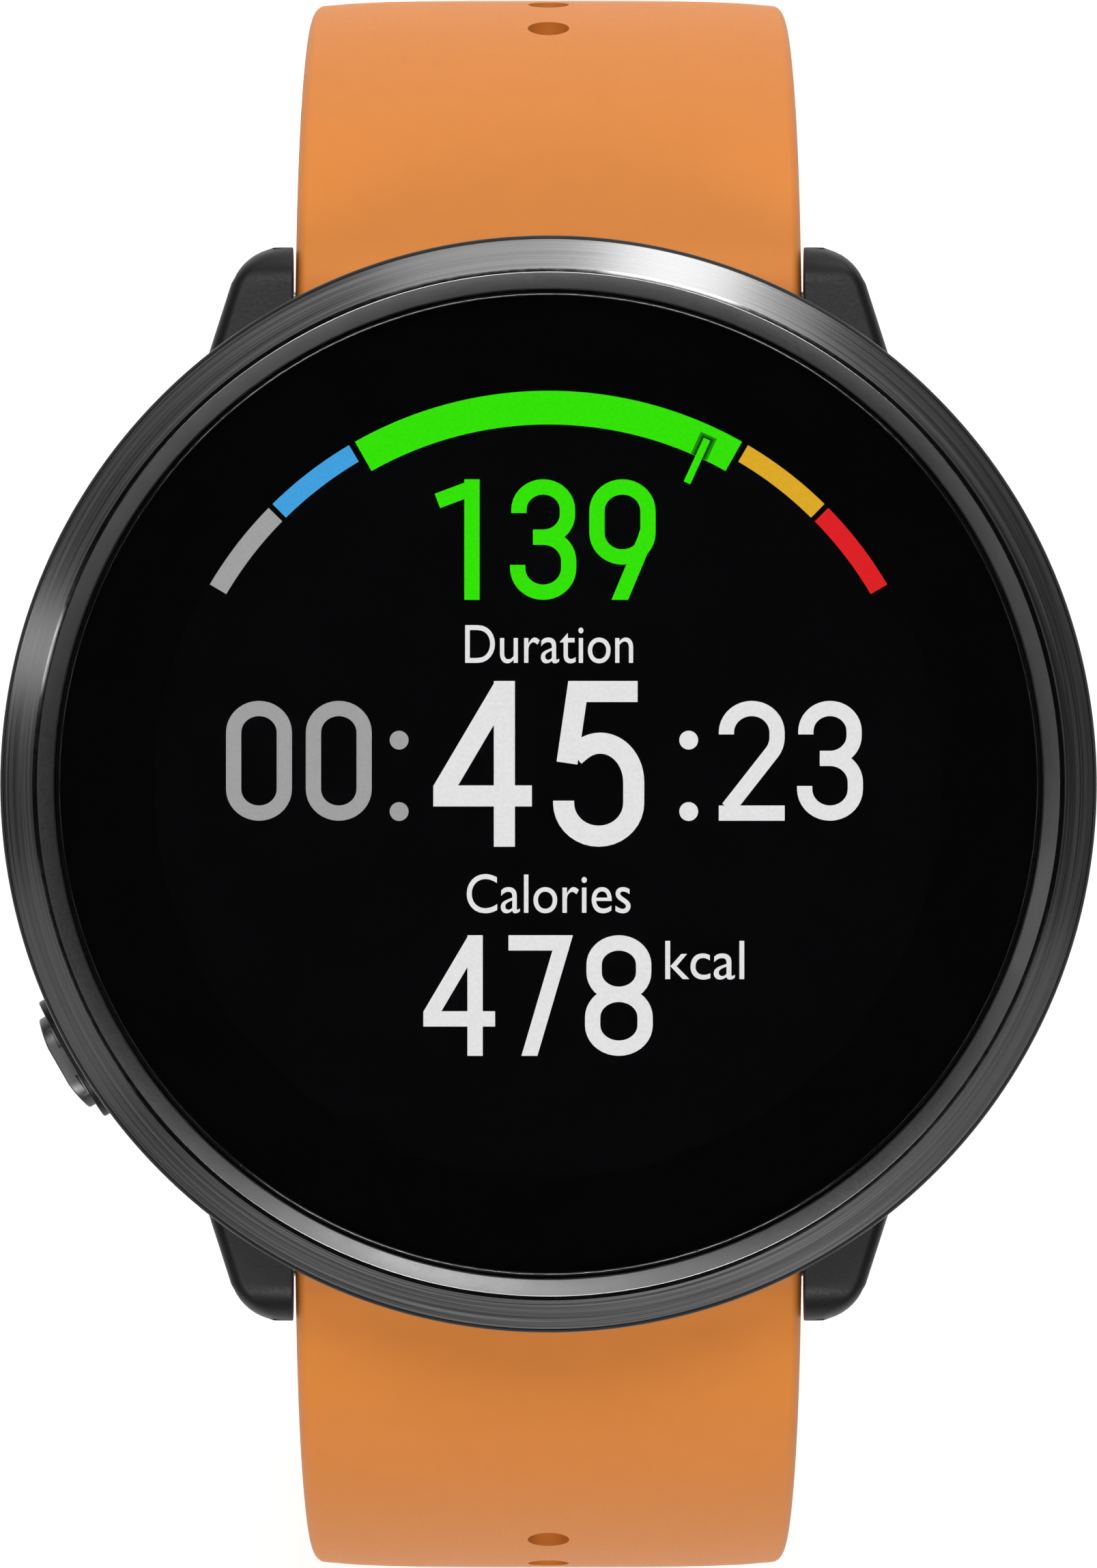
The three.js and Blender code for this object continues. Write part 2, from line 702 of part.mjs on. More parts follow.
// A line in the Y-Z plane made of straights and bends, which starts at the bar and is read by its length.
function layLine(runs) {
  const start = { y: barY, z: barZ, heading: THREE.MathUtils.degToRad(leaveAngle) };
  const after = ({ y, z, heading }, { radius, turn, length }, share) => {
    if (length !== undefined) {
      const run = length * share;
      return { y: y + run * Math.cos(heading), z: z + run * Math.sin(heading), heading };
    }
    // Bends all turn the same way, towards the wrist.
    const next = heading - THREE.MathUtils.degToRad(turn) * share;
    return {
      y: y + radius * (Math.sin(heading) - Math.sin(next)),
      z: z - radius * (Math.cos(heading) - Math.cos(next)),
      heading: next,
    };
  };
  const lengths = runs.map(({ radius, turn, length }) => length ?? radius * THREE.MathUtils.degToRad(turn));
  const total = lengths.reduce((sum, length) => sum + length, 0);
  const at = (s) => {
    let place = start;
    let left = s;
    for (const [i, run] of runs.entries()) {
      if (left <= lengths[i]) return after(place, run, left / lengths[i]);
      place = after(place, run, 1);
      left -= lengths[i];
    }
    return after(place, { length: 1 }, left);
  };
  return { at, total };
}

const firstTurn = 90 + leaveAngle;
const firstRadius = strapBulge / (1 - Math.sin(THREE.MathUtils.degToRad(-leaveAngle)));
const firstBend = { radius: firstRadius, turn: firstTurn };
const upperLine = layLine([
  firstBend,
  { radius: upperTurnRadius, turn: upperTurn },
  { length: upperStraight },
]);
const lowerLine = layLine([
  firstBend,
  { length: lowerDrop },
  { radius: lowerTurnRadius, turn: 90 },
  { length: lowerTail },
]);

const ease = (value, from, to) => THREE.MathUtils.smoothstep(value, from, to);
const strapThickness = (s) =>
  strapStart + (strapMiddle - strapStart) * ease(s, 2, 18) + (strapEnd - strapMiddle) * ease(s, 30, 55);
const strapWide = (s) => strapWidth - 0.1 + (strapEndWidth - strapWidth) * ease(s, 0, 52);

// A slab bent along a strap's line. sideSign is 1 at 12 o'clock and -1 at 6 o'clock.
function strapSlab(line, length, sideSign, widthAt) {
  const crown = 0.35;
  const slab = new THREE.BoxGeometry(1, 1, 1, 4, 1, Math.round(length / 2.6));
  const points = slab.attributes.position;
  for (let i = 0; i < points.count; i += 1) {
    const s = (points.getZ(i) + 0.5) * length;
    const { y, z, heading } = line.at(s);
    const across = points.getX(i);
    const side = points.getY(i);
    const lift = side * strapThickness(s) - (side > 0 ? crown * (2 * across) ** 4 : 0);
    points.setXYZ(
      i,
      across * widthAt(s),
      sideSign * (y - lift * Math.sin(heading)),
      z + lift * Math.cos(heading),
    );
  }
  return slab;
}

// Through holes square to the strap, at each distance in the list.
function strapHoles(line, distances, sideSign) {
  return distances.map((s) => {
    const { y, z, heading } = line.at(s);
    return solid(rod(holeRadius, -3, 3, 0, 0, 8)
      .rotateX(heading)
      .translate(0, y, z)
      .scale(1, sideSign, 1));
  });
}

function distancesUpTo(last) {
  const count = Math.floor((last - firstHole) / holePitch) + 1;
  return Array.from({ length: count }, (_, i) => firstHole + i * holePitch);
}

// The rolled end that the spring bar passes through, with the slot where its lever travels.
function knuckle(sideSign) {
  const half = strapWidth / 2;
  return solid(crossRod(knuckleRadius, -half, half, sideSign * barY, barZ, 24));
}

function knuckleCuts(sideSign) {
  const y = sideSign * barY;
  const slotHalf = leverRadius + 0.2;
  return [
    solid(crossRod(barRadius + barRunning, -15, 15, y, barZ)),
    solid(block(
      [leverX - leverTravel - slotHalf, y - slotHalf, barZ - 4],
      [leverX + slotHalf, y + slotHalf, barZ],
    )),
  ];
}

// ---------------------------------------------------------------- spring bars

function barTube(sideSign) {
  const y = sideSign * barY;
  const half = strapWidth / 2 - 0.3;
  const slotHalf = leverRadius + 0.1;
  return cut(
    join(
      solid(crossRod(barRadius, -half, half, y, barZ)),
      solid(crossRod(barTipRadius, -lugInner - barTipReach, -half + 0.2, y, barZ)),
    ),
    solid(crossRod(barRadius - barWall, 2, 15, y, barZ)),
    solid(block(
      [leverX - leverTravel - slotHalf, y - slotHalf, barZ - 2],
      [leverX + slotHalf, y + slotHalf, barZ],
    )),
  );
}

function releasePin(sideSign) {
  const y = sideSign * barY;
  const shaft = solid(crossRod(barTipRadius, leverX - 1.7, lugInner + barTipReach, y, barZ));
  const lever = solid(rod(leverRadius, barZ - 2.6, barZ, leverX, y));
  return join(shaft, lever);
}

function barSpring(sideSign) {
  return coil(0.3, 0.09, 2.15, leverX - 1.85, 5)
    .rotateY(Math.PI / 2)
    .translate(0, sideSign * barY, barZ);
}

for (const [label, sideSign] of [["upper", 1], ["lower", -1]]) {
  piece(`spring_bar_${label}`, barTube(sideSign), "steel");
  piece(`release_pin_${label}`, releasePin(sideSign), "steel");
  piece(`bar_spring_${label}`, barSpring(sideSign), "steel");
}

// ---------------------------------------------------------------- strap halves

// Where the upper half ends: local Y runs along the strap, and local Z out of its outer face.
const upperEnd = upperLine.at(upperLine.total);

function atUpperEnd(geometry) {
  return geometry.rotateX(upperEnd.heading).translate(0, upperEnd.y, upperEnd.z);
}

function upperStrap() {
  const half = strapEndWidth / 2;
  const eye = solid(atUpperEnd(crossRod(strapEyeRadius, -half, half, 0, 0)));
  const tangRoom = tangWidth / 2 + bucklePlay;
  const noTang = block([-tangRoom, -tangRing - 1.4, -4], [tangRoom, 5, 4]);
  const barRoom = crossRod(buckleBarRadius + barRunning, -15, 15, 0, 0);
  const holes = distancesUpTo(upperLine.total - fixedKeeperAt - keeperLength);
  return cut(
    join(solid(strapSlab(upperLine, upperLine.total, 1, strapWide)), knuckle(1), eye),
    ...knuckleCuts(1),
    solid(atUpperEnd(noTang)),
    solid(atUpperEnd(barRoom)),
    ...strapHoles(upperLine, holes, 1),
  );
}

function lowerStrap() {
  const roundFrom = lowerLine.total - tailRound;
  const tipped = (s) => {
    const past = THREE.MathUtils.clamp((s - roundFrom) / tailRound, 0, 0.97);
    return strapWide(s) * Math.sqrt(1 - past ** 3);
  };
  return cut(
    join(solid(strapSlab(lowerLine, lowerLine.total, -1, tipped)), knuckle(-1)),
    ...knuckleCuts(-1),
    ...strapHoles(lowerLine, distancesUpTo(lowerLine.total - holesEndBeforeTail), -1),
  );
}

piece("strap_upper", upperStrap(), "strapSilicone");
piece("strap_lower", lowerStrap(), "strapSilicone");

// ---------------------------------------------------------------- keepers and buckle

const endOfStrap = new THREE.Group();
endOfStrap.position.set(0, upperEnd.y, upperEnd.z);
endOfStrap.rotation.x = upperEnd.heading;
watch.add(endOfStrap);

// A loop round the strap with room for the other half on its outer side.
function keeper(at, gap) {
  const half = strapEndWidth / 2 + gap + 0.35;
  const low = -strapEnd / 2 - gap;
  const high = low + 2 * strapEnd + gap + 0.6;
  const back = -at - keeperLength / 2;
  const front = back + keeperLength;
  return cut(
    solid(block([-half - keeperWall, back, low - keeperWall], [half + keeperWall, front, high + keeperWall])),
    solid(block([-half, back - 1, low], [half, front + 1, high])),
  );
}

const frameInner = strapEndWidth / 2 + bucklePlay;
const frameOuter = frameInner + buckleArm;
const armHalf = buckleThickness / 2;

// The buckle: two arms and a round front rail, turning on the bar through the strap's end.
function buckleFrame() {
  const arm = (sign) => {
    const side = new THREE.Shape();
    side.absarc(0, 0, armHalf + 0.3, Math.PI / 2, 1.5 * Math.PI, false);
    side.lineTo(buckleReach, -armHalf);
    side.absarc(buckleReach, 0, armHalf, -Math.PI / 2, Math.PI / 2, false);
    side.closePath();
    const [from, to] = sign > 0 ? [frameInner, frameOuter] : [-frameOuter, -frameInner];
    return solid(plate(side, from, to, 8).rotateX(Math.PI / 2).rotateZ(Math.PI / 2));
  };
  const rail = solid(crossRod(armHalf, -frameOuter, frameOuter, buckleReach, 0));
  const socket = solid(crossRod(barTipRadius + barRunning, -frameInner - 1.2, frameInner + 1.2, 0, 0));
  return cut(join(arm(1), arm(-1), rail), socket);
}

function buckleBar() {
  return join(
    solid(crossRod(buckleBarRadius, -frameInner + 0.15, frameInner - 0.15, 0, 0)),
    solid(crossRod(barTipRadius, -frameInner - 1, frameInner + 1, 0, 0)),
  );
}

// The tang: a ring on the bar and a finger that lies on the front rail.
function buckleTang() {
  const half = tangWidth / 2;
  const lie = armHalf + 0.08;
  const side = new THREE.Shape();
  side.moveTo(0, tangRing);
  side.quadraticCurveTo(2.2, tangRing + 0.1, 4, lie + tangThickness);
  side.lineTo(buckleReach + 0.9, lie + tangThickness * 0.8);
  side.lineTo(buckleReach + 0.9, lie);
  side.lineTo(4, lie);
  side.quadraticCurveTo(2, lie - 0.2, 1, 0);
  side.closePath();
  const finger = solid(plate(side, -half, half, 8).rotateX(Math.PI / 2).rotateZ(Math.PI / 2));
  const hub = solid(crossRod(tangRing, -half, half, 0, 0));
  return cut(join(finger, hub), solid(crossRod(buckleBarRadius + barRunning, -5, 5, 0, 0)));
}

piece("keeper_fixed", keeper(fixedKeeperAt, keeperGap), "strapSilicone", endOfStrap);
piece("keeper_free", keeper(freeKeeperAt, keeperGap), "strapSilicone", endOfStrap);
piece("buckle_frame", buckleFrame(), "steel", endOfStrap);
piece("buckle_bar", buckleBar(), "steel", endOfStrap);
piece("buckle_tang", buckleTang(), "steel", endOfStrap);

export default watch;
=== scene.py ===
# %% [markdown]
# # A running watch, finished in Blender
# The CAD frame holds every piece in its true place, in metres. This lesson puts fine surfaces and real
# finishes on that frame. Pieces are built in millimetres, because the watch is drawn in millimetres, and
# each one is scaled to metres as its last step, so that its object sits unturned and unscaled at the
# origin.

# %% Load the frame
import json
import math

import bmesh
import bpy
from mathutils import Matrix, Vector


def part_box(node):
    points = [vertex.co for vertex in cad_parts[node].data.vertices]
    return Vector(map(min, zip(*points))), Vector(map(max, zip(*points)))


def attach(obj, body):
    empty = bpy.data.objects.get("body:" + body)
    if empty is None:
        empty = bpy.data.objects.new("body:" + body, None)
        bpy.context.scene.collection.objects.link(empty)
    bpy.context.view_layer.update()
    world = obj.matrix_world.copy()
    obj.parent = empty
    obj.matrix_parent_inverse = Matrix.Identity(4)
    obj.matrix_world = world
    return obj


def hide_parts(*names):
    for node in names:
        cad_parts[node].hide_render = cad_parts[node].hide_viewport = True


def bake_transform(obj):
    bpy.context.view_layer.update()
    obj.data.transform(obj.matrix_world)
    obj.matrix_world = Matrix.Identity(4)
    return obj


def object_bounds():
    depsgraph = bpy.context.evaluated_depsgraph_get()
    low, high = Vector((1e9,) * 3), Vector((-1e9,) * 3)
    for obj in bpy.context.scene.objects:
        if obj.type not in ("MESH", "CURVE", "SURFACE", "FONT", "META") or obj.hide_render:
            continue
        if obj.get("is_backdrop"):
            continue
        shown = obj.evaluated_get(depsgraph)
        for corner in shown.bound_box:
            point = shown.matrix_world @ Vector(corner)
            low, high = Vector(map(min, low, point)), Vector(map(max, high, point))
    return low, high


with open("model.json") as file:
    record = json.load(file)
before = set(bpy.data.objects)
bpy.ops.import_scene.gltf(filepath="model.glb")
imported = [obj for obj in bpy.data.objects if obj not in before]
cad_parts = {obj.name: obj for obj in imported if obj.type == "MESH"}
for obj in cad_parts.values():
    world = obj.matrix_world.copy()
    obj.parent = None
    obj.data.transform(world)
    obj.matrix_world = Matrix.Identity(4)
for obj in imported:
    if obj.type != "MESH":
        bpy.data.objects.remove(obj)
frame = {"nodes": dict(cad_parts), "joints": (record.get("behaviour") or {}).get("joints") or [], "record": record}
cad_low, cad_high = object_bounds()
joints = {joint["name"]: joint for joint in frame["joints"]}
scene = bpy.context.scene
MM = 0.001

# %% [markdown]
# ## Camera
# A product view from straight above. A long lens from half a metre keeps the round case round, while the
# strap, which bends away from the lens, still narrows a little. The bezel's widest circle fills the width
# of the picture.

# %% Camera
PICTURE_WIDTH, PICTURE_HEIGHT = 1607, 2296
CAMERA_DISTANCE = 0.5
bezel_low, bezel_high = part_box("bezel_ring")
case_width = bezel_high.x - bezel_low.x
view_height = case_width * PICTURE_HEIGHT / PICTURE_WIDTH
camera_data = bpy.data.cameras.new("camera")
camera_data.sensor_width = 36
camera_data.lens = camera_data.sensor_width * CAMERA_DISTANCE / view_height
camera_data.clip_start = 0.01
camera_data.clip_end = 10
camera = bpy.data.objects.new("camera", camera_data)
camera.location = (0, 0, bezel_high.z - 1.1 * MM + CAMERA_DISTANCE)
scene.collection.objects.link(camera)
scene.camera = camera
print("lens", round(camera_data.lens), "mm, view", round(view_height / MM, 1), "mm high")

# %% [markdown]
# ## Light
# A dark metal ring shows its shape only through what it mirrors. So the room is dim, and soft boxes stand
# low around the watch: a large one past 12 o'clock for the bright sweep along the bezel, and weak ones at
# the sides. Two further boxes, high behind 12 and 6 o'clock, light the strap and the floor, and they stay
# out of the glass's mirror image.

# %% Soft boxes and room
def soft_box(name, azimuth, elevation, distance, width, height, power):
    """An area light aimed at the watch. Azimuth turns from 3 o'clock towards 12 o'clock."""
    turn, rise = math.radians(azimuth), math.radians(elevation)
    away = Vector((math.cos(turn) * math.cos(rise), math.sin(turn) * math.cos(rise), math.sin(rise)))
    data = bpy.data.lights.new(name, "AREA")
    data.shape = "RECTANGLE"
    data.size, data.size_y = width, height
    data.energy = power
    light = bpy.data.objects.new(name, data)
    light.location = away * distance
    light.rotation_euler = away.to_track_quat("Z", "Y").to_euler()
    scene.collection.objects.link(light)
    return light


soft_box("key_low", 76, 12, 0.9, 0.22, 0.3, 1.5)
soft_box("key_wide", 84, 12, 1.1, 0.95, 0.22, 2.3)
soft_box("strap_key", 92, 62, 1.2, 0.9, 0.5, 14)
soft_box("front_fill", 268, 57, 1.3, 0.9, 0.35, 16)
soft_box("left_strip", 165, 13, 0.9, 0.12, 0.25, 0.32)
soft_box("right_low", 318, 12, 1.0, 0.95, 0.2, 0.42)
soft_box("left_low", 203, 12, 1.0, 0.45, 0.2, 0.2)

world = bpy.data.worlds.new("room")
world.use_nodes = True
world.node_tree.nodes["Background"].inputs["Color"].default_value = (0.9, 0.95, 1, 1)
world.node_tree.nodes["Background"].inputs["Strength"].default_value = 0.012
scene.world = world
scene.view_settings.view_transform = "Standard"
print("lights:", [item.name for item in bpy.data.lights])

# %% [markdown]
# ## Finishes
# Every finish is a Principled shader. What varies over a surface, such as grain, streaks or specks, comes
# from a noise in Object coordinates, so it stays put on the piece. What is the same all over, such as
# metalness, is set on the shader's own socket, because the exported model keeps only those.

# %% A small kit for node materials
def start_finish(name, colour, roughness, metallic=0.0):
    """A Principled material, returned with its node tree and shader."""
    material = bpy.data.materials.new(name)
    material.use_nodes = True
    tree = material.node_tree
    shader = tree.nodes["Principled BSDF"]
    shader.inputs["Base Color"].default_value = (*colour, 1)
    shader.inputs["Roughness"].default_value = roughness
    shader.inputs["Metallic"].default_value = metallic
    return material, tree, shader


def noise(tree, vector, scale, detail=3.0):
    node = tree.nodes.new("ShaderNodeTexNoise")
    node.inputs["Scale"].default_value = scale
    node.inputs["Detail"].default_value = detail
    tree.links.new(vector, node.inputs["Vector"])
    return node.outputs["Fac"]


def spread(tree, value, low, high, centre=0.2):
    """Maps the middle of a noise's range to low..high."""
    node = tree.nodes.new("ShaderNodeMapRange")
    node.inputs["From Min"].default_value = 0.5 - centre
    node.inputs["From Max"].default_value = 0.5 + centre
    node.inputs["To Min"].default_value = low
    node.inputs["To Max"].default_value = high
    tree.links.new(value, node.inputs["Value"])
    return node.outputs["Result"]


def mix_colours(tree, value, first, second):
    node = tree.nodes.new("ShaderNodeMix")
    node.data_type = "RGBA"
    node.inputs["A"].default_value = (*first, 1)
    node.inputs["B"].default_value = (*second, 1)
    tree.links.new(value, node.inputs["Factor"])
    return node.outputs["Result"]


def bump(tree, shader, height, strength, distance):
    node = tree.nodes.new("ShaderNodeBump")
    node.inputs["Strength"].default_value = strength
    node.inputs["Distance"].default_value = distance
    tree.links.new(height, node.inputs["Height"])
    tree.links.new(node.outputs["Normal"], shader.inputs["Normal"])


def object_place(tree):
    return tree.nodes.new("ShaderNodeTexCoord").outputs["Object"]


print("materials before the first finish:", len(bpy.data.materials))

# %% [markdown]
# Moulded and cast finishes differ only in their grain: its size, how deep it is and how much it changes
# the gloss. One function makes them all, and the few that need more are built on it.

# %% Grained finishes
def grained(name, colour, roughness, metallic=0.0, grain=4000, depth=0.00001, uneven=0.08, tint=0.12):
    """A finish with a fine grain. grain is cells per metre, and tint is how far the colour wanders."""
    material, tree, shader = start_finish(name, colour, roughness, metallic)
    place = object_place(tree)
    fine = noise(tree, place, grain)
    broad = noise(tree, place, grain / 12, 2)
    darker = tuple(channel * (1 - tint) for channel in colour)
    lighter = tuple(min(1, channel * (1 + tint)) for channel in colour)
    tree.links.new(mix_colours(tree, spread(tree, broad, 0, 1), darker, lighter), shader.inputs["Base Color"])
    tree.links.new(spread(tree, fine, roughness - uneven, roughness + uneven), shader.inputs["Roughness"])
    bump(tree, shader, fine, 0.5, depth)
    return material


case_polymer = grained("case_polymer", (0.006, 0.006, 0.0063), 0.44, grain=9000, depth=0.000006, uneven=0.05)
case_polymer.node_tree.nodes["Principled BSDF"].inputs["Specular IOR Level"].default_value = 0.16
inner_plastic = grained("inner_plastic", (0.05, 0.052, 0.056), 0.55, grain=6000)
seal_rubber = grained("seal_rubber", (0.02, 0.02, 0.022), 0.75, grain=7000)
shield_tin = grained("shield_tin", (0.6, 0.61, 0.62), 0.34, 1, grain=2500, depth=0.000004)
cell_foil = grained("cell_foil", (0.7, 0.71, 0.73), 0.4, 1, grain=1500, depth=0.00002)
gold_plate = grained("gold_plate", (0.83, 0.6, 0.25), 0.24, 1, grain=5000, depth=0.000002)
copper_flex = grained("copper_flex", (0.45, 0.19, 0.05), 0.38, grain=3000)
display_black = grained(
    "display_black", (0.0015, 0.0015, 0.0018), 0.4, grain=2000, depth=0.0000005, tint=0.05
)
display_black.node_tree.nodes["Principled BSDF"].inputs["Specular IOR Level"].default_value = 0
led_lens = grained("led_lens", (0.5, 0.75, 0.45), 0.2, grain=3000, depth=0.000002)
print("grained finishes:", len(bpy.data.materials))

# %% [markdown]
# The strap is liquid silicone rubber from a blasted mould. It is soft and matte with a faint sheen at its
# edges, and a very fine speckle, with broad patches a touch lighter where it has been handled.

# %% Strap silicone
STRAP_ORANGE = (0.53, 0.172, 0.027)
strap_silicone = grained(
    "strap_silicone", STRAP_ORANGE, 0.58, grain=9000, depth=0.000014, uneven=0.05, tint=0.012
)
silicone_shader = strap_silicone.node_tree.nodes["Principled BSDF"]
silicone_shader.inputs["Specular IOR Level"].default_value = 0.2
silicone_shader.inputs["Sheen Weight"].default_value = 0.01
silicone_shader.inputs["Sheen Roughness"].default_value = 0.4
print("silicone roughness", silicone_shader.inputs["Roughness"].default_value)

# %% [markdown]
# The circuit boards carry a green solder mask over copper tracks. A brick pattern of thin lines stands for
# the tracks, slightly raised and lighter.

# %% Solder mask
def make_circuit_board():
    material, tree, shader = start_finish("circuit_board", (0.02, 0.11, 0.05), 0.32)
    tracks = tree.nodes.new("ShaderNodeTexBrick")
    tracks.inputs["Scale"].default_value = 700
    tracks.inputs["Mortar Size"].default_value = 0.05
    tracks.inputs["Color1"].default_value = (0.018, 0.1, 0.045, 1)
    tracks.inputs["Color2"].default_value = (0.022, 0.12, 0.055, 1)
    tracks.inputs["Mortar"].default_value = (0.06, 0.24, 0.1, 1)
    tree.links.new(object_place(tree), tracks.inputs["Vector"])
    tree.links.new(tracks.outputs["Color"], shader.inputs["Base Color"])
    bump(tree, shader, tracks.outputs["Fac"], 0.4, 0.00002)
    return material


circuit_board = make_circuit_board()
print("made", circuit_board.name)

# %% [markdown]
# The bezel's slope is brushed on a lathe, so its scratches run round the watch. The noise is read at
# (radius, direction) in place of (x, y): it changes fast across the ring and slowly along it, and it has
# no seam because a direction is a point on a circle. An anisotropic shader whose tangent runs round Z
# stretches each highlight across the scratches, as turned metal does.

# %% Brushed and polished metal
def brushed_round(name, colour, roughness, stretch, across=15000, along=1.2):
    material, tree, shader = start_finish(name, colour, roughness, 1)
    nodes, links = tree.nodes, tree.links
    place = object_place(tree)
    flat = nodes.new("ShaderNodeVectorMath")
    flat.operation = "MULTIPLY"
    flat.inputs[1].default_value = (1, 1, 0)
    links.new(place, flat.inputs[0])
    radius = nodes.new("ShaderNodeVectorMath")
    radius.operation = "LENGTH"
    links.new(flat.outputs["Vector"], radius.inputs[0])
    direction = nodes.new("ShaderNodeVectorMath")
    direction.operation = "NORMALIZE"
    links.new(flat.outputs["Vector"], direction.inputs[0])
    turned = nodes.new("ShaderNodeVectorMath")
    turned.operation = "SCALE"
    turned.inputs["Scale"].default_value = along
    links.new(direction.outputs["Vector"], turned.inputs[0])
    parts = nodes.new("ShaderNodeSeparateXYZ")
    links.new(turned.outputs["Vector"], parts.inputs["Vector"])
    outward = nodes.new("ShaderNodeMath")
    outward.operation = "MULTIPLY"
    outward.inputs[1].default_value = across
    links.new(radius.outputs["Value"], outward.inputs[0])
    grooves = nodes.new("ShaderNodeCombineXYZ")
    links.new(outward.outputs["Value"], grooves.inputs["X"])
    links.new(parts.outputs["X"], grooves.inputs["Y"])
    links.new(parts.outputs["Y"], grooves.inputs["Z"])
    scratches = noise(tree, grooves.outputs["Vector"], 1, 2)
    darker = tuple(channel * 0.8 for channel in colour)
    lighter = tuple(channel * 1.2 for channel in colour)
    links.new(mix_colours(tree, spread(tree, scratches, 0, 1), darker, lighter), shader.inputs["Base Color"])
    links.new(spread(tree, scratches, roughness - 0.05, roughness + 0.05), shader.inputs["Roughness"])
    bump(tree, shader, scratches, 0.1, 0.00001)
    shader.inputs["Anisotropic"].default_value = stretch
    shader.inputs["Anisotropic Rotation"].default_value = 0.25
    tangent = nodes.new("ShaderNodeTangent")
    tangent.direction_type = "RADIAL"
    tangent.axis = "Z"
    links.new(tangent.outputs["Tangent"], shader.inputs["Tangent"])
    return material


brushed_dark = brushed_round("bezel_brushed", (0.2, 0.2, 0.2), 0.3, 0.55)
blasted = {"metallic": 1, "grain": 9000, "depth": 0.000001, "uneven": 0.03}
satin_dark = grained("bezel_satin", (0.19, 0.19, 0.19), 0.44, tint=0.05, **blasted)
button_dark = grained("button_dark", (0.085, 0.085, 0.085), 0.42, **blasted)
# The ring's side and outer edge are coloured near black: painted shade that draws a dark outline round the bezel.
side_painted_shade = grained("bezel_side_painted_shade", (0.02, 0.02, 0.02), 0.3, **blasted)
polished_dark = grained("bezel_polished", (0.2, 0.2, 0.2), 0.13, 1, grain=3000, depth=0.0000005, uneven=0.03)
buckle_steel = grained("buckle_steel", (0.24, 0.24, 0.245), 0.32, 1, grain=12000, depth=0.000003)
steel = grained("steel", (0.62, 0.63, 0.65), 0.26, 1, grain=9000, depth=0.000002)
print("metals:", brushed_dark.name, polished_dark.name, buckle_steel.name, steel.name)

# %% [markdown]
# The lens and the sensor window are clear and tinted glass. Real transmission is used, so that the display
# and the pulse lights behind them are seen through the gloss.

# %% Glass
def make_glass(name, tint, roughness):
    material, tree, shader = start_finish(name, tint, roughness)
    shader.inputs["Transmission Weight"].default_value = 1
    shader.inputs["IOR"].default_value = 1.5
    smears = noise(tree, object_place(tree), 220, 2)
    tree.links.new(spread(tree, smears, roughness, roughness + 0.012), shader.inputs["Roughness"])
    return material


lens_glass = make_glass("lens_glass", (1, 1, 1), 0.0)
sensor_glass = make_glass("sensor_glass", (0.22, 0.23, 0.26), 0.02)
print("glasses:", lens_glass.name, sensor_glass.name)

# %% [markdown]
# Each lit area of the display has a light of its own colour. The lens in front keeps its gloss, so the
# emission is all that these need.

# %% Display light
def lit(name, colour, strength=1.07):
    material, tree, shader = start_finish(name, (0, 0, 0), 0.5)
    shader.inputs["Specular IOR Level"].default_value = 0
    shader.inputs["Emission Color"].default_value = (*colour, 1)
    shader.inputs["Emission Strength"].default_value = strength
    # A display is a grid of cells, which shows as a barely visible weave up close.
    cells = noise(tree, object_place(tree), 9000, 0)
    dim = tuple(channel * 0.94 for channel in colour)
    tree.links.new(mix_colours(tree, spread(tree, cells, 0, 1), dim, colour), shader.inputs["Emission Color"])
    return material


lit_white = lit("lit_white", (0.79, 0.79, 0.79))
lit_grey = lit("lit_grey", (0.36, 0.36, 0.36))
lit_green = lit("lit_green", (0.035, 0.79, 0.002))
lit_blue = lit("lit_blue", (0.055, 0.36, 0.75))
lit_yellow = lit("lit_yellow", (0.74, 0.41, 0.022))
lit_red = lit("lit_red", (0.74, 0.016, 0.02))
lit_shade = lit("lit_shade", (0.012, 0.26, 0.001))
lit_deep = lit("lit_deep", (0.004, 0.07, 0.001))
print("display colours:", sum(m.name.startswith("lit_") for m in bpy.data.materials))

# %% [markdown]
# ## Finishing a piece
# A mesh that was spun or mirrored can come out with doubled vertices or turned faces. So each piece is
# merged first and has its normals recalculated after that. It's then shaded smooth, with edges kept crisp
# past a given angle. Last, a Weighted Normal modifier is applied: it lets the large faces rule the
# shading, so that a flat face beside a small bevel stays flat in its reflections. Without it the lens
# would mirror the room like a dome.

# %% From bmesh to piece
def make_piece(name, bm, material, body, replaces=(), crisp=32):
    """Turns a bmesh in millimetres into a piece. It rides on a CAD body, unless body is None."""
    bmesh.ops.remove_doubles(bm, verts=bm.verts, dist=0.0004)
    bmesh.ops.dissolve_degenerate(bm, edges=bm.edges, dist=0.0002)
    bmesh.ops.recalc_face_normals(bm, faces=bm.faces)
    bmesh.ops.scale(bm, vec=(MM, MM, MM), verts=bm.verts)
    mesh = bpy.data.meshes.new(name)
    bm.to_mesh(mesh)
    bm.free()
    mesh.shade_smooth()
    mesh.set_sharp_from_angle(angle=math.radians(crisp))
    piece = bpy.data.objects.new(name, mesh)
    scene.collection.objects.link(piece)
    for each in material if isinstance(material, (list, tuple)) else [material]:
        mesh.materials.append(each)
    weighted = piece.modifiers.new("weighted", "WEIGHTED_NORMAL")
    weighted.keep_sharp = True
    view = bpy.context.evaluated_depsgraph_get()
    piece.data = bpy.data.meshes.new_from_object(piece.evaluated_get(view))
    piece.modifiers.clear()
    bpy.data.meshes.remove(mesh)
    if body:
        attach(piece, body)
    if replaces:
        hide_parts(*replaces)
    print(f"{name}: {len(piece.data.polygons)} faces")
    return piece


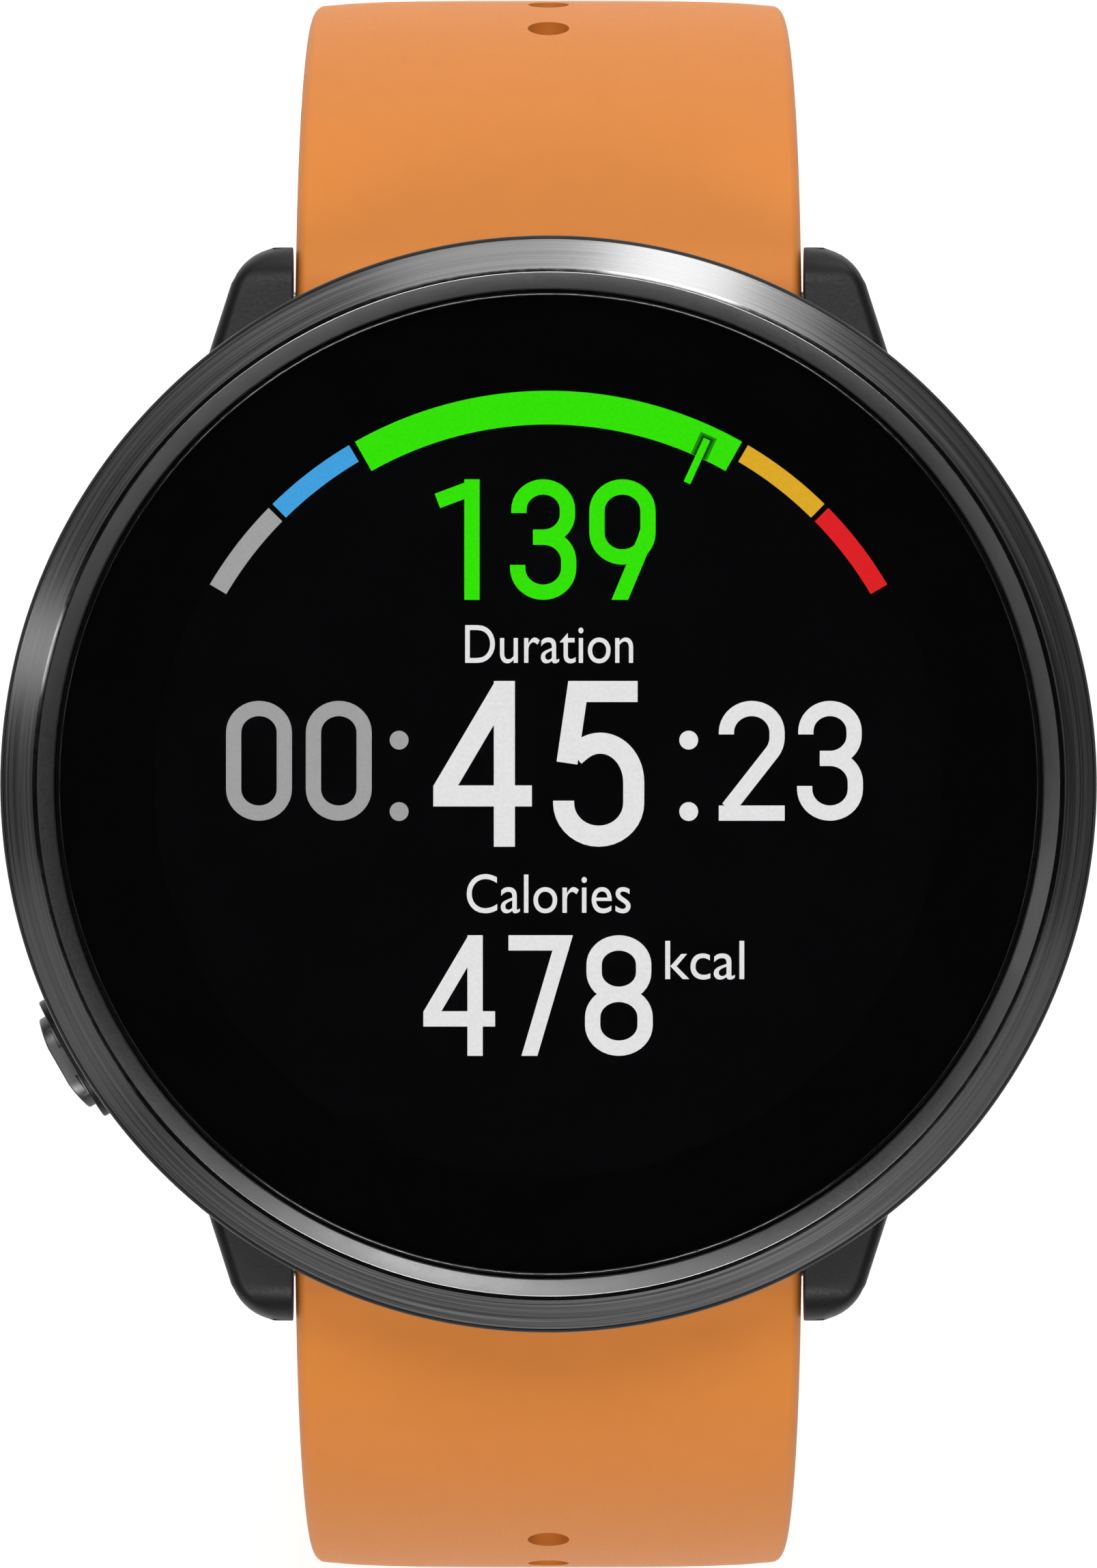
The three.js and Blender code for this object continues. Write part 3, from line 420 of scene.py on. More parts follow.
# %% [markdown]
# Round pieces are turned on a lathe. The profile is a chain of corner points, and a corner with a rounding
# gets a vertex bevel before the chain is spun, which gives an even fillet all the way round for no extra
# work.

# %% Lathe
FULL_TURN = 2 * math.pi
LATHE_STEPS = 288


def lathe(profile, closed=False, steps=LATHE_STEPS, middle=(0, 0)):
    """Spins (radius, height, rounding) corners round Z."""
    bm = bmesh.new()
    corners = [bm.verts.new((radius, 0, height)) for radius, height, _ in profile]
    ends = corners[1:] + corners[:1] if closed else corners[1:]
    for first, second in zip(corners, ends):
        bm.edges.new((first, second))
    for corner, (_, _, rounding) in zip(corners, profile):
        if rounding:
            bmesh.ops.bevel(
                bm, geom=[corner], offset=rounding, segments=4, profile=0.5, affect="VERTICES", material=-1
            )
    bmesh.ops.spin(
        bm, geom=bm.verts[:] + bm.edges[:], axis=(0, 0, 1), cent=(0, 0, 0),
        angle=FULL_TURN, steps=steps, use_merge=True,
    )
    bmesh.ops.translate(bm, vec=(*middle, 0), verts=bm.verts)
    return bm


print("lathe:", LATHE_STEPS, "steps a turn")

# %% [markdown]
# ## Bezel
# One steel ring. Its outer slope is brushed, apart from a narrow polished strip at the top, which makes a
# thin line round the watch. The inner bevel is satin, and the side and outer edge are coloured near black,
# a painted shade that draws a dark outline round the ring. They are four finishes on one turned ring, so
# each face takes its finish from its distance to the axis.

# %% Bezel ring
bezel_radius = case_width / 2 / MM
bezel_foot = bezel_low.z / MM
bezel_crest = bezel_high.z / MM
BRUSHED_OUTER, BRUSHED_INNER, BEVEL_OUTER, BEVEL_INNER = bezel_radius - 0.13, 20.2, 20.02, 19.4
bezel = lathe([
    (BEVEL_INNER, bezel_foot, 0),
    (bezel_radius - 0.2, bezel_foot, 0.08),
    (bezel_radius, bezel_foot + 0.2, 0.08),
    (bezel_radius, bezel_crest - 1.08, 0.06),
    (BRUSHED_OUTER, bezel_crest - 0.93, 0.03),
    (BRUSHED_INNER, bezel_crest - 0.135, 0),
    (BEVEL_OUTER, bezel_crest, 0.02),
    (BEVEL_INNER, bezel_crest - 0.55, 0.04),
], closed=True, steps=512)
for face in bezel.faces:
    middle = face.calc_center_median()
    radius = math.hypot(middle.x, middle.y)
    on_top = middle.z > bezel_foot + 0.3
    # The side and outer edge take the near-black painted shade.
    if radius > BRUSHED_OUTER - 0.02:
        face.material_index = 3
    elif radius > BRUSHED_INNER and on_top:
        face.material_index = 0
    elif radius > BEVEL_OUTER - 0.02 and on_top:
        face.material_index = 1
    else:
        face.material_index = 2
bezel_finishes = [brushed_dark, polished_dark, satin_dark, side_painted_shade]
make_piece("bezel", bezel, bezel_finishes, "case", ["bezel_ring"], crisp=24)

# %% [markdown]
# ## Lens, black border and display
# The lens is a flat disc of glass with a polished edge. A black border is printed on its underside, which
# hides the gasket and leaves a round window for the display. The print is a thin ring just inside the
# glass, above its lower face, so that nothing of the gasket shows past it.

# %% Lens and border
lens_low, lens_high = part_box("display_lens")
lens_radius = lens_high.x / MM
lens_bottom, lens_top = lens_low.z / MM, lens_high.z / MM
lens = lathe([
    (0, lens_bottom, 0),
    (lens_radius, lens_bottom, 0.05),
    (lens_radius, lens_top, 0.12),
    (0, lens_top, 0),
])
make_piece("lens", lens, lens_glass, "case", ["display_lens"])

WINDOW_RADIUS = 15.5
PRINT_LOW, PRINT_HIGH = lens_bottom + 0.02, lens_bottom + 0.05
border = lathe([
    (WINDOW_RADIUS, PRINT_LOW, 0),
    (lens_radius - 0.12, PRINT_LOW, 0),
    (lens_radius - 0.12, PRINT_HIGH, 0),
    (WINDOW_RADIUS, PRINT_HIGH, 0),
], closed=True)
make_piece("lens_border", border, display_black, "case")

# %% [markdown]
# ## The gauge
# An effort gauge runs round the top of the display: a wide middle band with two thin bands on each side.
# Each band is one radial edge spun through its angle, and then given a thin body by extruding.

# %% Gauge bands
panel_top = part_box("display_panel")[1].z / MM
INK = panel_top + 0.02
INK_DEPTH = 0.015
TWELVE = 90


def gauge_band(name, inner, outer, start, end, material):
    """A band from start to end degrees clockwise from 12 o'clock."""
    bm = bmesh.new()
    turn = math.radians(TWELVE - start)
    ends = [bm.verts.new((r * math.cos(turn), r * math.sin(turn), INK)) for r in (inner, outer)]
    edge = bm.edges.new(ends)
    sweep = math.radians(start - end)
    bmesh.ops.spin(
        bm, geom=[edge, *ends], axis=(0, 0, 1), cent=(0, 0, 0), angle=sweep, steps=48, use_merge=False
    )
    raised = bmesh.ops.extrude_face_region(bm, geom=bm.faces[:])["geom"]
    tops = [item for item in raised if isinstance(item, bmesh.types.BMVert)]
    bmesh.ops.translate(bm, vec=(0, 0, INK_DEPTH), verts=tops)
    make_piece(name, bm, material, "case")


GAUGE_OUTER = 15.42
gauge_band("gauge_middle", 14.1, GAUGE_OUTER, -29.5, 29.5, lit_green)
gauge_band("gauge_easy", 14.67, GAUGE_OUTER, -44.6, -30.5, lit_blue)
gauge_band("gauge_rest", 14.67, GAUGE_OUTER, -59.5, -45.4, lit_grey)
gauge_band("gauge_hard", 14.67, GAUGE_OUTER, 30.5, 44.6, lit_yellow)
gauge_band("gauge_full", 14.67, GAUGE_OUTER, 45.4, 59.5, lit_red)

# %% [markdown]
# ## Figures
# The figures are a plain condensed face of even strokes. Each figure is a few strokes in a box one unit
# high. A stroke is a chain of points and arcs, and a round-bevelled curve along it, pressed flat, is a
# ribbon of even width. Corners are separate strokes that run through each other, because one bent curve
# would pinch there.

# %% Strokes of the figures
PEN = 0.127
FIGURE_WIDTH = 0.55


def arc(x, y, wide, high, start, end, steps=18):
    """Points of an elliptical arc, in degrees."""
    turns = [math.radians(start + (end - start) * i / steps) for i in range(steps + 1)]
    return [(x + wide * math.cos(t), y + high * math.sin(t)) for t in turns]


def loop(middle, wide, low, top, corner):
    """A closed loop with straight sides and round ends. It ends where it starts."""
    head = arc(middle, top - corner, wide, corner, 0, 180)
    foot = arc(middle, low + corner, wide, corner, 180, 360)
    return [*head, *foot, (middle + wide, top - corner)]


LEFT = PEN / 2
LOW, TOP = PEN / 2, 1 - PEN / 2
MIDDLE = FIGURE_WIDTH / 2
HALF = MIDDLE - PEN / 2
ROUND = 0.2
WAIST = 0.52
STROKES = {
    "0": [loop(MIDDLE, HALF, LOW, TOP, ROUND)],
    "1": [[(0.287, -0.05), (0.287, 1.05)], [(0.0, 0.82), (0.32, 0.94)]],
    "2": [
        [
            (LEFT, 0.72), *arc(MIDDLE, TOP - ROUND, HALF, ROUND, 180, 0),
            *arc(MIDDLE, TOP - ROUND - 0.04, HALF, ROUND * 1.05, 0, -38), (LEFT + 0.015, LOW + 0.04),
        ],
        [(0, LOW), (FIGURE_WIDTH, LOW)],
    ],
    "3": [
        [
            (LEFT + 0.01, 0.72), *arc(MIDDLE, TOP - 0.19, HALF - 0.01, 0.19, 180, 0),
            *arc(MIDDLE, WAIST + 0.19, HALF - 0.01, 0.19, 0, -90), (0.19, WAIST),
        ],
        [
            (0.19, WAIST), *arc(MIDDLE, WAIST - 0.2, HALF, 0.2, 90, 0),
            *arc(MIDDLE, LOW + 0.2, HALF, 0.2, 0, -180), (LEFT, 0.29),
        ],
    ],
    "4": [
        [(0.429, -0.05), (0.429, 1.05)],
        [(0, 0.3065), (0.595, 0.3065)],
        [(0.0547, 0.3337), (0.438, 0.983)],
    ],
    "5": [
        [(0.1, TOP), (0.51, TOP)],
        [(0.159, 1.02), (0.084, 0.505)],
        [
            (0.13, 0.55), *arc(MIDDLE + 0.01, 0.39, HALF - 0.01, 0.235, 125, 0),
            *arc(MIDDLE, LOW + ROUND, HALF, ROUND, 0, -180), (LEFT, 0.278),
        ],
    ],
    "7": [[(0, TOP), (0.5, TOP)], [(0.483, 1.05), (0.159, -0.05)]],
    "8": [
        loop(MIDDLE, HALF - 0.006, WAIST - 0.01, TOP, 0.18),
        loop(MIDDLE, HALF + 0.006, LOW, WAIST - 0.01, 0.19),
    ],
    "9": [
        loop(MIDDLE, HALF, 0.3555, TOP, ROUND),
        [(0.232, -0.05), (0.462, 0.5), (0.4865, 0.58), (0.4865, 0.66)],
    ],
}
print("figures:", "".join(STROKES))

# %% [markdown]
# A ribbon is drawn as a poly curve, made into a mesh and pressed flat, in that order, so the piece that is
# kept is a plain mesh at the origin.

# %% Writing figures
def flat_ribbon(strokes, place, height):
    """A bmesh of the strokes as flat ribbons, with the figure's lower left corner at place."""
    curve = bpy.data.curves.new("ribbon", "CURVE")
    curve.dimensions = "3D"
    curve.twist_mode = "Z_UP"
    curve.bevel_depth = PEN * height / 2
    curve.bevel_resolution = 2
    curve.use_fill_caps = True
    for stroke in strokes:
        spline = curve.splines.new("POLY")
        spline.use_cyclic_u = stroke[0] == stroke[-1]
        points = stroke[:-1] if spline.use_cyclic_u else stroke
        spline.points.add(len(points) - 1)
        for point, (x, y) in zip(spline.points, points):
            point.co = (place[0] + x * height, place[1] + y * height, 0, 1)
    holder = bpy.data.objects.new("ribbon", curve)
    mesh = bpy.data.meshes.new_from_object(holder)
    bm = bmesh.new()
    bm.from_mesh(mesh)
    # Strokes that reach past the figure's foot or head are cut level there, and closed again.
    for level, away in ((place[1], -1), (place[1] + height, 1)):
        bmesh.ops.bisect_plane(
            bm, geom=bm.verts[:] + bm.edges[:] + bm.faces[:],
            plane_co=(0, level, 0), plane_no=(0, away, 0), clear_outer=True,
        )
        bmesh.ops.holes_fill(bm, edges=[e for e in bm.edges if e.is_boundary], sides=0)
    bmesh.ops.scale(bm, vec=(1, 1, INK_DEPTH / (PEN * height)), verts=bm.verts)
    bmesh.ops.translate(bm, vec=(0, 0, INK + INK_DEPTH), verts=bm.verts)
    bpy.data.objects.remove(holder)
    bpy.data.curves.remove(curve)
    bpy.data.meshes.remove(mesh)
    return bm


def round_dot(place, radius):
    bm = bmesh.new()
    bmesh.ops.create_circle(bm, cap_ends=True, segments=32, radius=radius)
    raised = bmesh.ops.extrude_face_region(bm, geom=bm.faces[:])["geom"]
    tops = [item for item in raised if isinstance(item, bmesh.types.BMVert)]
    bmesh.ops.translate(bm, vec=(0, 0, INK_DEPTH), verts=tops)
    bmesh.ops.translate(bm, vec=(*place, INK), verts=bm.verts)
    return bm


def gather(parts):
    """Joins several bmeshes into one."""
    whole = bmesh.new()
    for part in parts:
        mesh = bpy.data.meshes.new("part")
        part.to_mesh(mesh)
        whole.from_mesh(mesh)
        part.free()
        bpy.data.meshes.remove(mesh)
    return whole


def write_figures(name, figures, lefts, base, height, material):
    """Writes each figure with its left edge at the matching value in lefts."""
    parts = [flat_ribbon(STROKES[f], (left, base), height) for f, left in zip(figures, lefts)]
    make_piece(name, gather(parts), material, "case")


write_figures("figures_heart_rate", "139", (-4.36, -1.51, 1.6), 7.22, 4.73, lit_green)
write_figures("figures_minutes", "45", (-4.52, 0.18), -2.46, 6.5, lit_white)
write_figures("figures_hours", "00", (-12.65, -9.52), -1.44, 4.7, lit_grey)
write_figures("figures_seconds", "23", (6.68, 9.75), -1.44, 4.7, lit_white)
write_figures("figures_energy", "478", (-4.91, -1.57, 1.46), -10.66, 4.73, lit_white)
DOT = 0.37
DOT_HEIGHTS = (-1.08, 1.72)
for name, x, material in (("colon_hours", -5.86, lit_grey), ("colon_seconds", 5.5, lit_white)):
    dots = gather([round_dot((x, y), DOT) for y in DOT_HEIGHTS])
    make_piece(name, dots, material, "case")

# %% [markdown]
# The labels are small, so Blender's own font, narrowed, does for them. A text object is made a mesh before
# it is placed, and its box is then fitted to the space that the label has.

# %% Labels
def write_label(name, words, left, right, base, cap_height, material):
    """A label from left to right, whose first capital stands cap_height above its base line."""
    text = bpy.data.curves.new(name, "FONT")
    text.body = words
    text.extrude = 0.01
    text.resolution_u = 6
    holder = bpy.data.objects.new(name, text)
    mesh = bpy.data.meshes.new_from_object(holder)
    bm = bmesh.new()
    bm.from_mesh(mesh)
    xs = [vert.co.x for vert in bm.verts]
    ys = [vert.co.y for vert in bm.verts]
    wide = (right - left) / (max(xs) - min(xs))
    high = cap_height / max(ys)
    bmesh.ops.translate(bm, vec=(-min(xs), 0, 0), verts=bm.verts)
    bmesh.ops.scale(bm, vec=(wide, high, INK_DEPTH / 0.02), verts=bm.verts)
    bmesh.ops.translate(bm, vec=(left, base, INK + INK_DEPTH), verts=bm.verts)
    bpy.data.objects.remove(holder)
    bpy.data.curves.remove(text)
    bpy.data.meshes.remove(mesh)
    make_piece(name, bm, material, "case")


write_label("label_duration", "Duration", -3.27, 3.32, 4.75, 1.48, lit_white)
write_label("label_energy", "Calories", -3.21, 3.22, -5.05, 1.52, lit_white)
write_label("label_unit", "kcal", 4.58, 7.68, -7.65, 1.5, lit_white)

# %% [markdown]
# The needle crosses the green band, so it casts a soft dark shade there, without which it would vanish.
# The shade is two slabs, each darker and narrower than the one below. All three are built at 12 o'clock
# and turned to the reading.

# %% Needle
NEEDLE_TURN = 24.7


def needle_slab(name, width, inner, outer, level, material):
    bm = bmesh.new()
    bmesh.ops.create_cube(bm, size=1)
    bmesh.ops.scale(bm, vec=(width, outer - inner, INK_DEPTH), verts=bm.verts)
    bmesh.ops.translate(bm, vec=(0, (inner + outer) / 2, level), verts=bm.verts)
    turn = Matrix.Rotation(math.radians(-NEEDLE_TURN), 4, "Z")
    bmesh.ops.transform(bm, matrix=turn, verts=bm.verts)
    make_piece(name, bm, material, "case")


needle_slab("needle_halo", 0.68, 14.11, 15.05, INK + 0.018, lit_shade)
needle_slab("needle_shadow", 0.48, 14.11, 14.97, INK + 0.026, lit_deep)
needle_slab("needle", 0.28, 13.0, 14.88, INK + 0.036, lit_green)

# %% [markdown]
# ## Case body
# The case is one polymer moulding. Its outside is turned, the two pockets for the strap and the hollow for
# the insides are cut with Boolean modifiers, and a small bevel breaks the edges. The modifiers are applied
# at once, so that the piece that is kept is a plain mesh.

# %% Cutting with modifiers
SOLVER = "MANIFOLD"


def loose_object(name, bm):
    """A helper object in millimetres that isn't part of the watch."""
    bmesh.ops.remove_doubles(bm, verts=bm.verts, dist=0.0004)
    bmesh.ops.recalc_face_normals(bm, faces=bm.faces)
    mesh = bpy.data.meshes.new(name)
    bm.to_mesh(mesh)
    bm.free()
    helper = bpy.data.objects.new(name, mesh)
    scene.collection.objects.link(helper)
    return helper


def carve(body, tools, operation="DIFFERENCE"):
    """The bmesh of body after each tool has been cut from it, or joined to it."""
    base = loose_object("base", body)
    helpers = [loose_object("tool", tool) for tool in tools]
    for helper in helpers:
        cutter = base.modifiers.new("cut", "BOOLEAN")
        cutter.operation = operation
        cutter.solver = SOLVER
        cutter.object = helper
    view = bpy.context.evaluated_depsgraph_get()
    mesh = bpy.data.meshes.new_from_object(base.evaluated_get(view))
    bm = bmesh.new()
    bm.from_mesh(mesh)
    for helper in (base, *helpers):
        old = helper.data
        bpy.data.objects.remove(helper)
        bpy.data.meshes.remove(old)
    bpy.data.meshes.remove(mesh)
    return bm


print("Boolean solver:", SOLVER)

# %% [markdown]
# The tools that do the cutting, and many of the pieces, start as a block or a rod. Their sharp edges are
# found by the angle between the two faces that meet there, and a bevel breaks them.

# %% Blocks, rods and bevels
def block(low, high):
    """A cuboid between two corners."""
    bm = bmesh.new()
    bmesh.ops.create_cube(bm, size=1)
    bmesh.ops.scale(bm, vec=[h - l for l, h in zip(low, high)], verts=bm.verts)
    bmesh.ops.translate(bm, vec=[(l + h) / 2 for l, h in zip(low, high)], verts=bm.verts)
    return bm


def rod(radius, start, end, steps=48, top_radius=None):
    """A cylinder or cone between two points."""
    start, end = Vector(start), Vector(end)
    bm = bmesh.new()
    bmesh.ops.create_cone(
        bm, cap_ends=True, segments=steps, radius1=radius,
        radius2=radius if top_radius is None else top_radius, depth=(end - start).length,
    )
    turn = (end - start).to_track_quat("Z", "Y").to_matrix().to_4x4()
    bmesh.ops.transform(bm, matrix=Matrix.Translation((start + end) / 2) @ turn, verts=bm.verts)
    return bm


def sharp_edges(bm, angle=40):
    """Edges whose two faces meet at more than angle degrees."""
    bm.normal_update()
    limit = math.radians(angle)
    return [e for e in bm.edges if len(e.link_faces) == 2 and e.calc_face_angle(0) > limit]


def bevel_edges(bm, edges, width, steps=3):
    bmesh.ops.bevel(
        bm, geom=edges, offset=width, segments=steps, profile=0.5,
        affect="EDGES", material=-1, clamp_overlap=True,
    )


trial = block((0, 0, 0), (1, 1, 1))
bevel_edges(trial, sharp_edges(trial), 0.1)
print("a block with bevelled edges has", len(trial.faces), "faces")
trial.free()

# %% [markdown]
# A disc whose sides are cut flat at 12 and 6 o'clock appears twice: the hollow and the cover. It's a
# circle that two planes trim before it is extruded.

# %% Clipped disc
def clipped_disc(radius, flat, low, high, steps=160):
    bm = bmesh.new()
    bmesh.ops.create_circle(bm, cap_ends=True, segments=steps, radius=radius)
    for side in (1, -1):
        bmesh.ops.bisect_plane(
            bm, geom=bm.verts[:] + bm.edges[:] + bm.faces[:],
            plane_co=(0, side * flat, 0), plane_no=(0, side, 0), clear_outer=True,
        )
    raised = bmesh.ops.extrude_face_region(bm, geom=bm.faces[:])["geom"]
    tops = [item for item in raised if isinstance(item, bmesh.types.BMVert)]
    bmesh.ops.translate(bm, vec=(0, 0, high - low), verts=tops)
    bmesh.ops.translate(bm, vec=(0, 0, low), verts=bm.verts)
    return bm


trial = clipped_disc(2, 1, 0, 1)
print("a disc of radius 2 clipped at 1 is", round(2 * max(v.co.y for v in trial.verts), 2), "mm across")
trial.free()

# %% [markdown]
# The button's place is settled before the case is made, because the case wall has to have a bore for its
# bush. Its direction and its travel come from the frame's joint. The recess is one travel deeper than the
# cap, with a little to spare.

# %% Button sizes
body_side = bezel_radius - 0.6
press = Vector(joints["button_press"]["axis"])
button_turn = math.atan2(-press.y, -press.x)
BUTTON_Z = 3.6
STEM_RADIUS, BUSH_RADIUS = 0.55, 1.35
ARCH = 0.065
collar_face = body_side + 0.85
cap_inner = collar_face - 0.06
cap_face = cap_inner + 0.65
recess_floor = cap_inner - joints["button_press"]["range_m"][1] / MM - 0.12
stem_start = body_side - 3.55


def ease(value, start, end):
    """0 before start, 1 after end, and smooth between."""
    share = min(1, max(0, (value - start) / (end - start)))
    return share * share * (3 - 2 * share)


def pill(length, height, start, end, steps=12):
    """A pill-shaped plug along X from start to end, with its long side along Y."""
    bm = block((start, -length / 2, -height / 2), (end, length / 2, height / 2))
    along = [e for e in bm.edges if abs(e.verts[0].co.x - e.verts[1].co.x) > 0.01]
    bevel_edges(bm, along, height / 2 - 0.002, steps)
    return bm


def to_button(bm):
    """Turns what was built along +X to the button's place."""
    place = Matrix.Rotation(button_turn, 4, "Z") @ Matrix.Translation((0, 0, BUTTON_Z))
    bmesh.ops.transform(bm, matrix=place, verts=bm.verts)
    return bm


print("button at", round(math.degrees(button_turn)), "degrees, recess floor at", round(recess_floor, 2), "mm")

# %% [markdown]
# The outside is turned from one profile that draws in towards the wrist. Two pockets make room for the
# strap's ends, the hollow and the mouth take the insides and the display, and a bore leads to the button.

# %% Case body
body_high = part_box("case_body")[1]
cover_low, cover_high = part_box("back_cover")
body_top = bezel_foot
neck_top = body_high.z / MM
under = cover_low.z / MM
bar_y = joints["strap_upper_swing"]["pos_m"][1] / MM
bar_z = joints["strap_upper_swing"]["pos_m"][2] / MM
KNUCKLE = 2.0
LUG_INNER = 10.1
pocket_y = bar_y - KNUCKLE - 0.2
hollow_radius = body_side - 2.2
hollow_flat = pocket_y - 1.15
outside = lathe([
    (0, under, 0),
    (body_side - 1.5, under, 0.35),
    (body_side - 0.45, under + 1.0, 0.6),
    (body_side, under + 2.3, 0.8),
    (body_side, body_top, 0.1),
    (19.38, body_top, 0),
    (19.38, neck_top, 0.05),
    (0, neck_top, 0),
])
POCKET_END = 25
pockets = []
for side in (1, -1):
    near, far = sorted((side * pocket_y, side * POCKET_END))
    pockets.append(block((-LUG_INNER, near, -1), (LUG_INNER, far, bar_z + 2.2)))
hollow = clipped_disc(hollow_radius, hollow_flat, under - 1, body_top - 0.2)
mouth = rod(17.43, (0, 0, body_top - 1), (0, 0, neck_top + 1), 160)
bush_bore = to_button(rod(BUSH_RADIUS + 0.02, (hollow_radius - 3, 0, 0), (body_side + 1, 0, 0), 64))
shell = carve(outside, [*pockets, hollow, mouth, bush_bore])
make_piece("case_shell", shell, case_polymer, "case", ["case_body"], crisp=38)

# %% [markdown]
# The lugs carry the spring bars. Each starts as a tapered block. The edges at its tip get one wide bevel,
# which rounds it in plan and from the side at once, and the long edges a smaller one. One lug is mirrored
# to the other corners.

# %% Lugs
def one_lug():
    root, tip = 13.6, body_high.y / MM
    bm = block((LUG_INNER, root, under + 0.25), (LUG_INNER + 3, tip, body_top - 0.12))
    for vert in bm.verts:
        if vert.co.x > LUG_INNER + 1 and vert.co.y < root + 1:
            vert.co.x += 1.35
        if vert.co.x > LUG_INNER + 1 and vert.co.y > tip - 1:
            vert.co.x -= 1.0
        if vert.co.z > bar_z and vert.co.y > tip - 1:
            vert.co.z -= 0.75
        if vert.co.z < bar_z and vert.co.y > tip - 1:
            vert.co.z += 0.1

    def along(edge, axis):
        line = edge.verts[0].co - edge.verts[1].co
        return abs(line[axis]) > 0.8 * line.length

    at_tip = [e for e in bm.edges if min(v.co.y for v in e.verts) > tip - 0.5]
    tip_edges = [e for e in at_tip if along(e, 0) or max(v.co.x for v in e.verts) > LUG_INNER + 1]
    bevel_edges(bm, tip_edges, 1.5, 10)
    outer = [e for e in sharp_edges(bm, 25) if min(v.co.x for v in e.verts) > LUG_INNER + 0.6]
    bevel_edges(bm, outer, 0.6, 6)
    bevel_edges(bm, [e for e in sharp_edges(bm, 40) if max(v.co.y for v in e.verts) > root + 0.1], 0.32, 5)
    return bm


def mirrored(bm, axis):
    """Adds the mirror image of everything in bm across a plane through the origin."""
    twin = bmesh.ops.duplicate(bm, geom=bm.faces[:])["geom"]
    flip = [1, 1, 1]
    flip[axis] = -1
    bmesh.ops.scale(bm, vec=flip, verts=[item for item in twin if isinstance(item, bmesh.types.BMVert)])
    bmesh.ops.reverse_faces(bm, faces=[item for item in twin if isinstance(item, bmesh.types.BMFace)])
    return bm


lugs = mirrored(mirrored(one_lug(), 0), 1)
make_piece("case_lugs", lugs, case_polymer, "case", crisp=50)

# %% [markdown]
# ## Side button
# The button is a pill with an arched face, on a stem that runs through a bush in the case wall. It's built
# facing along +X at 3 o'clock, where its sizes are easy to read, and turned to its place. Its upper and
# lower sides each have a raised lobe in the middle, made by cutting the ends back.

# %% Button
cap = pill(4.0, 2.4, cap_inner, cap_face)
bevel_edges(cap, [e for e in cap.edges if min(v.co.x for v in e.verts) > cap_face - 0.001], 0.26, 5)
ends = [
    block((cap_inner - 0.1, 0.62 if end > 0 else -3, 0.98 if up > 0 else -2),
          (cap_face - 0.42, 3 if end > 0 else -0.62, 2 if up > 0 else -0.98))
    for end in (1, -1) for up in (1, -1)
]
cap = carve(cap, ends)
bmesh.ops.triangulate(cap, faces=cap.faces)
for vert in cap.verts:
    vert.co.x -= ARCH * vert.co.y ** 2 * ease(vert.co.x, cap_inner, cap_face - 0.3)
stem = rod(STEM_RADIUS, (stem_start, 0, 0), (cap_inner + 0.15, 0, 0), 40)
bevel_edges(stem, sharp_edges(stem, 60), 0.08, 2)
cap = carve(cap, [stem], "UNION")
make_piece("button", to_button(cap), button_dark, "button", ["button_cap"], crisp=35)

collar = pill(5.2, 3.6, body_side - 1.2, collar_face)
bevel_edges(collar, [e for e in collar.edges if min(v.co.x for v in e.verts) > collar_face - 0.001], 0.3, 4)
collar_cuts = [
    pill(4.24, 2.64, recess_floor, collar_face + 1),
    rod(BUSH_RADIUS + 0.02, (body_side - 3, 0, 0), (recess_floor + 0.1, 0, 0), 64),
]
collar = carve(collar, collar_cuts)
make_piece("button_collar", to_button(collar), case_polymer, "case", crisp=38)

# %% [markdown]
# ## Coil springs
# A coil is a small circle spun round an axis while it climbs. Blender's spin does both at once. One end of
# each spring belongs to the fixed body and the other to the moving one. The spring is built where it
# rests and is attached to neither body.

# %% Springs
def coil(radius, wire, low, high, turns, steps_each=20):
    """A closed coil spring along Z."""
    bm = bmesh.new()
    ring = bmesh.ops.create_circle(bm, cap_ends=False, segments=10, radius=wire)["verts"]
    stand = Matrix.Translation((radius, 0, low)) @ Matrix.Rotation(math.radians(90), 4, "X")
    bmesh.ops.transform(bm, matrix=stand, verts=ring)
    steps = turns * steps_each
    bmesh.ops.spin(
        bm, geom=bm.edges[:], axis=(0, 0, 1), cent=(0, 0, 0), dvec=(0, 0, (high - low) / steps),
        angle=turns * FULL_TURN, steps=steps,
    )
    bmesh.ops.holes_fill(bm, edges=[e for e in bm.edges if e.is_boundary], sides=0)
    return bm


TO_X = Matrix.Rotation(math.radians(90), 4, "Y")
spring_low, spring_high = recess_floor - 1.58, cap_inner - 0.12
spring = coil(STEM_RADIUS + 0.24, 0.1, spring_low, spring_high, 4)
bmesh.ops.transform(spring, matrix=TO_X, verts=spring.verts)
spring = make_piece("spring_button", to_button(spring), steel, None, ["button_spring"])
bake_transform(spring)

for word, side in (("upper", 1), ("lower", -1)):
    low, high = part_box(f"bar_spring_{word}")
    spring = coil(0.3, 0.09, low.x / MM + 0.09, high.x / MM - 0.09, 5)
    lie = Matrix.Translation((0, side * bar_y, bar_z)) @ TO_X
    bmesh.ops.transform(spring, matrix=lie, verts=spring.verts)
    spring = make_piece(f"spring_{word}", spring, steel, None, [f"bar_spring_{word}"])
    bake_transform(spring)

# %% [markdown]
# ## Back cover and sensor
# The cover closes the case from the wrist side. It has a rounded rim, a round opening for the sensor,
# recesses for the four screws and holes for the charging contacts.

# %% Back cover
cover_top = cover_high.z / MM
cover_radius, cover_flat = cover_high.x / MM, cover_high.y / MM
SENSOR_HOLE = 7.4
HEAD_RADIUS, SCREW_RADIUS = 1.2, 0.5
CONTACT_RADIUS = 0.7


def centre_of(node):
    low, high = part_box(node)
    return (low + high) / 2 / MM


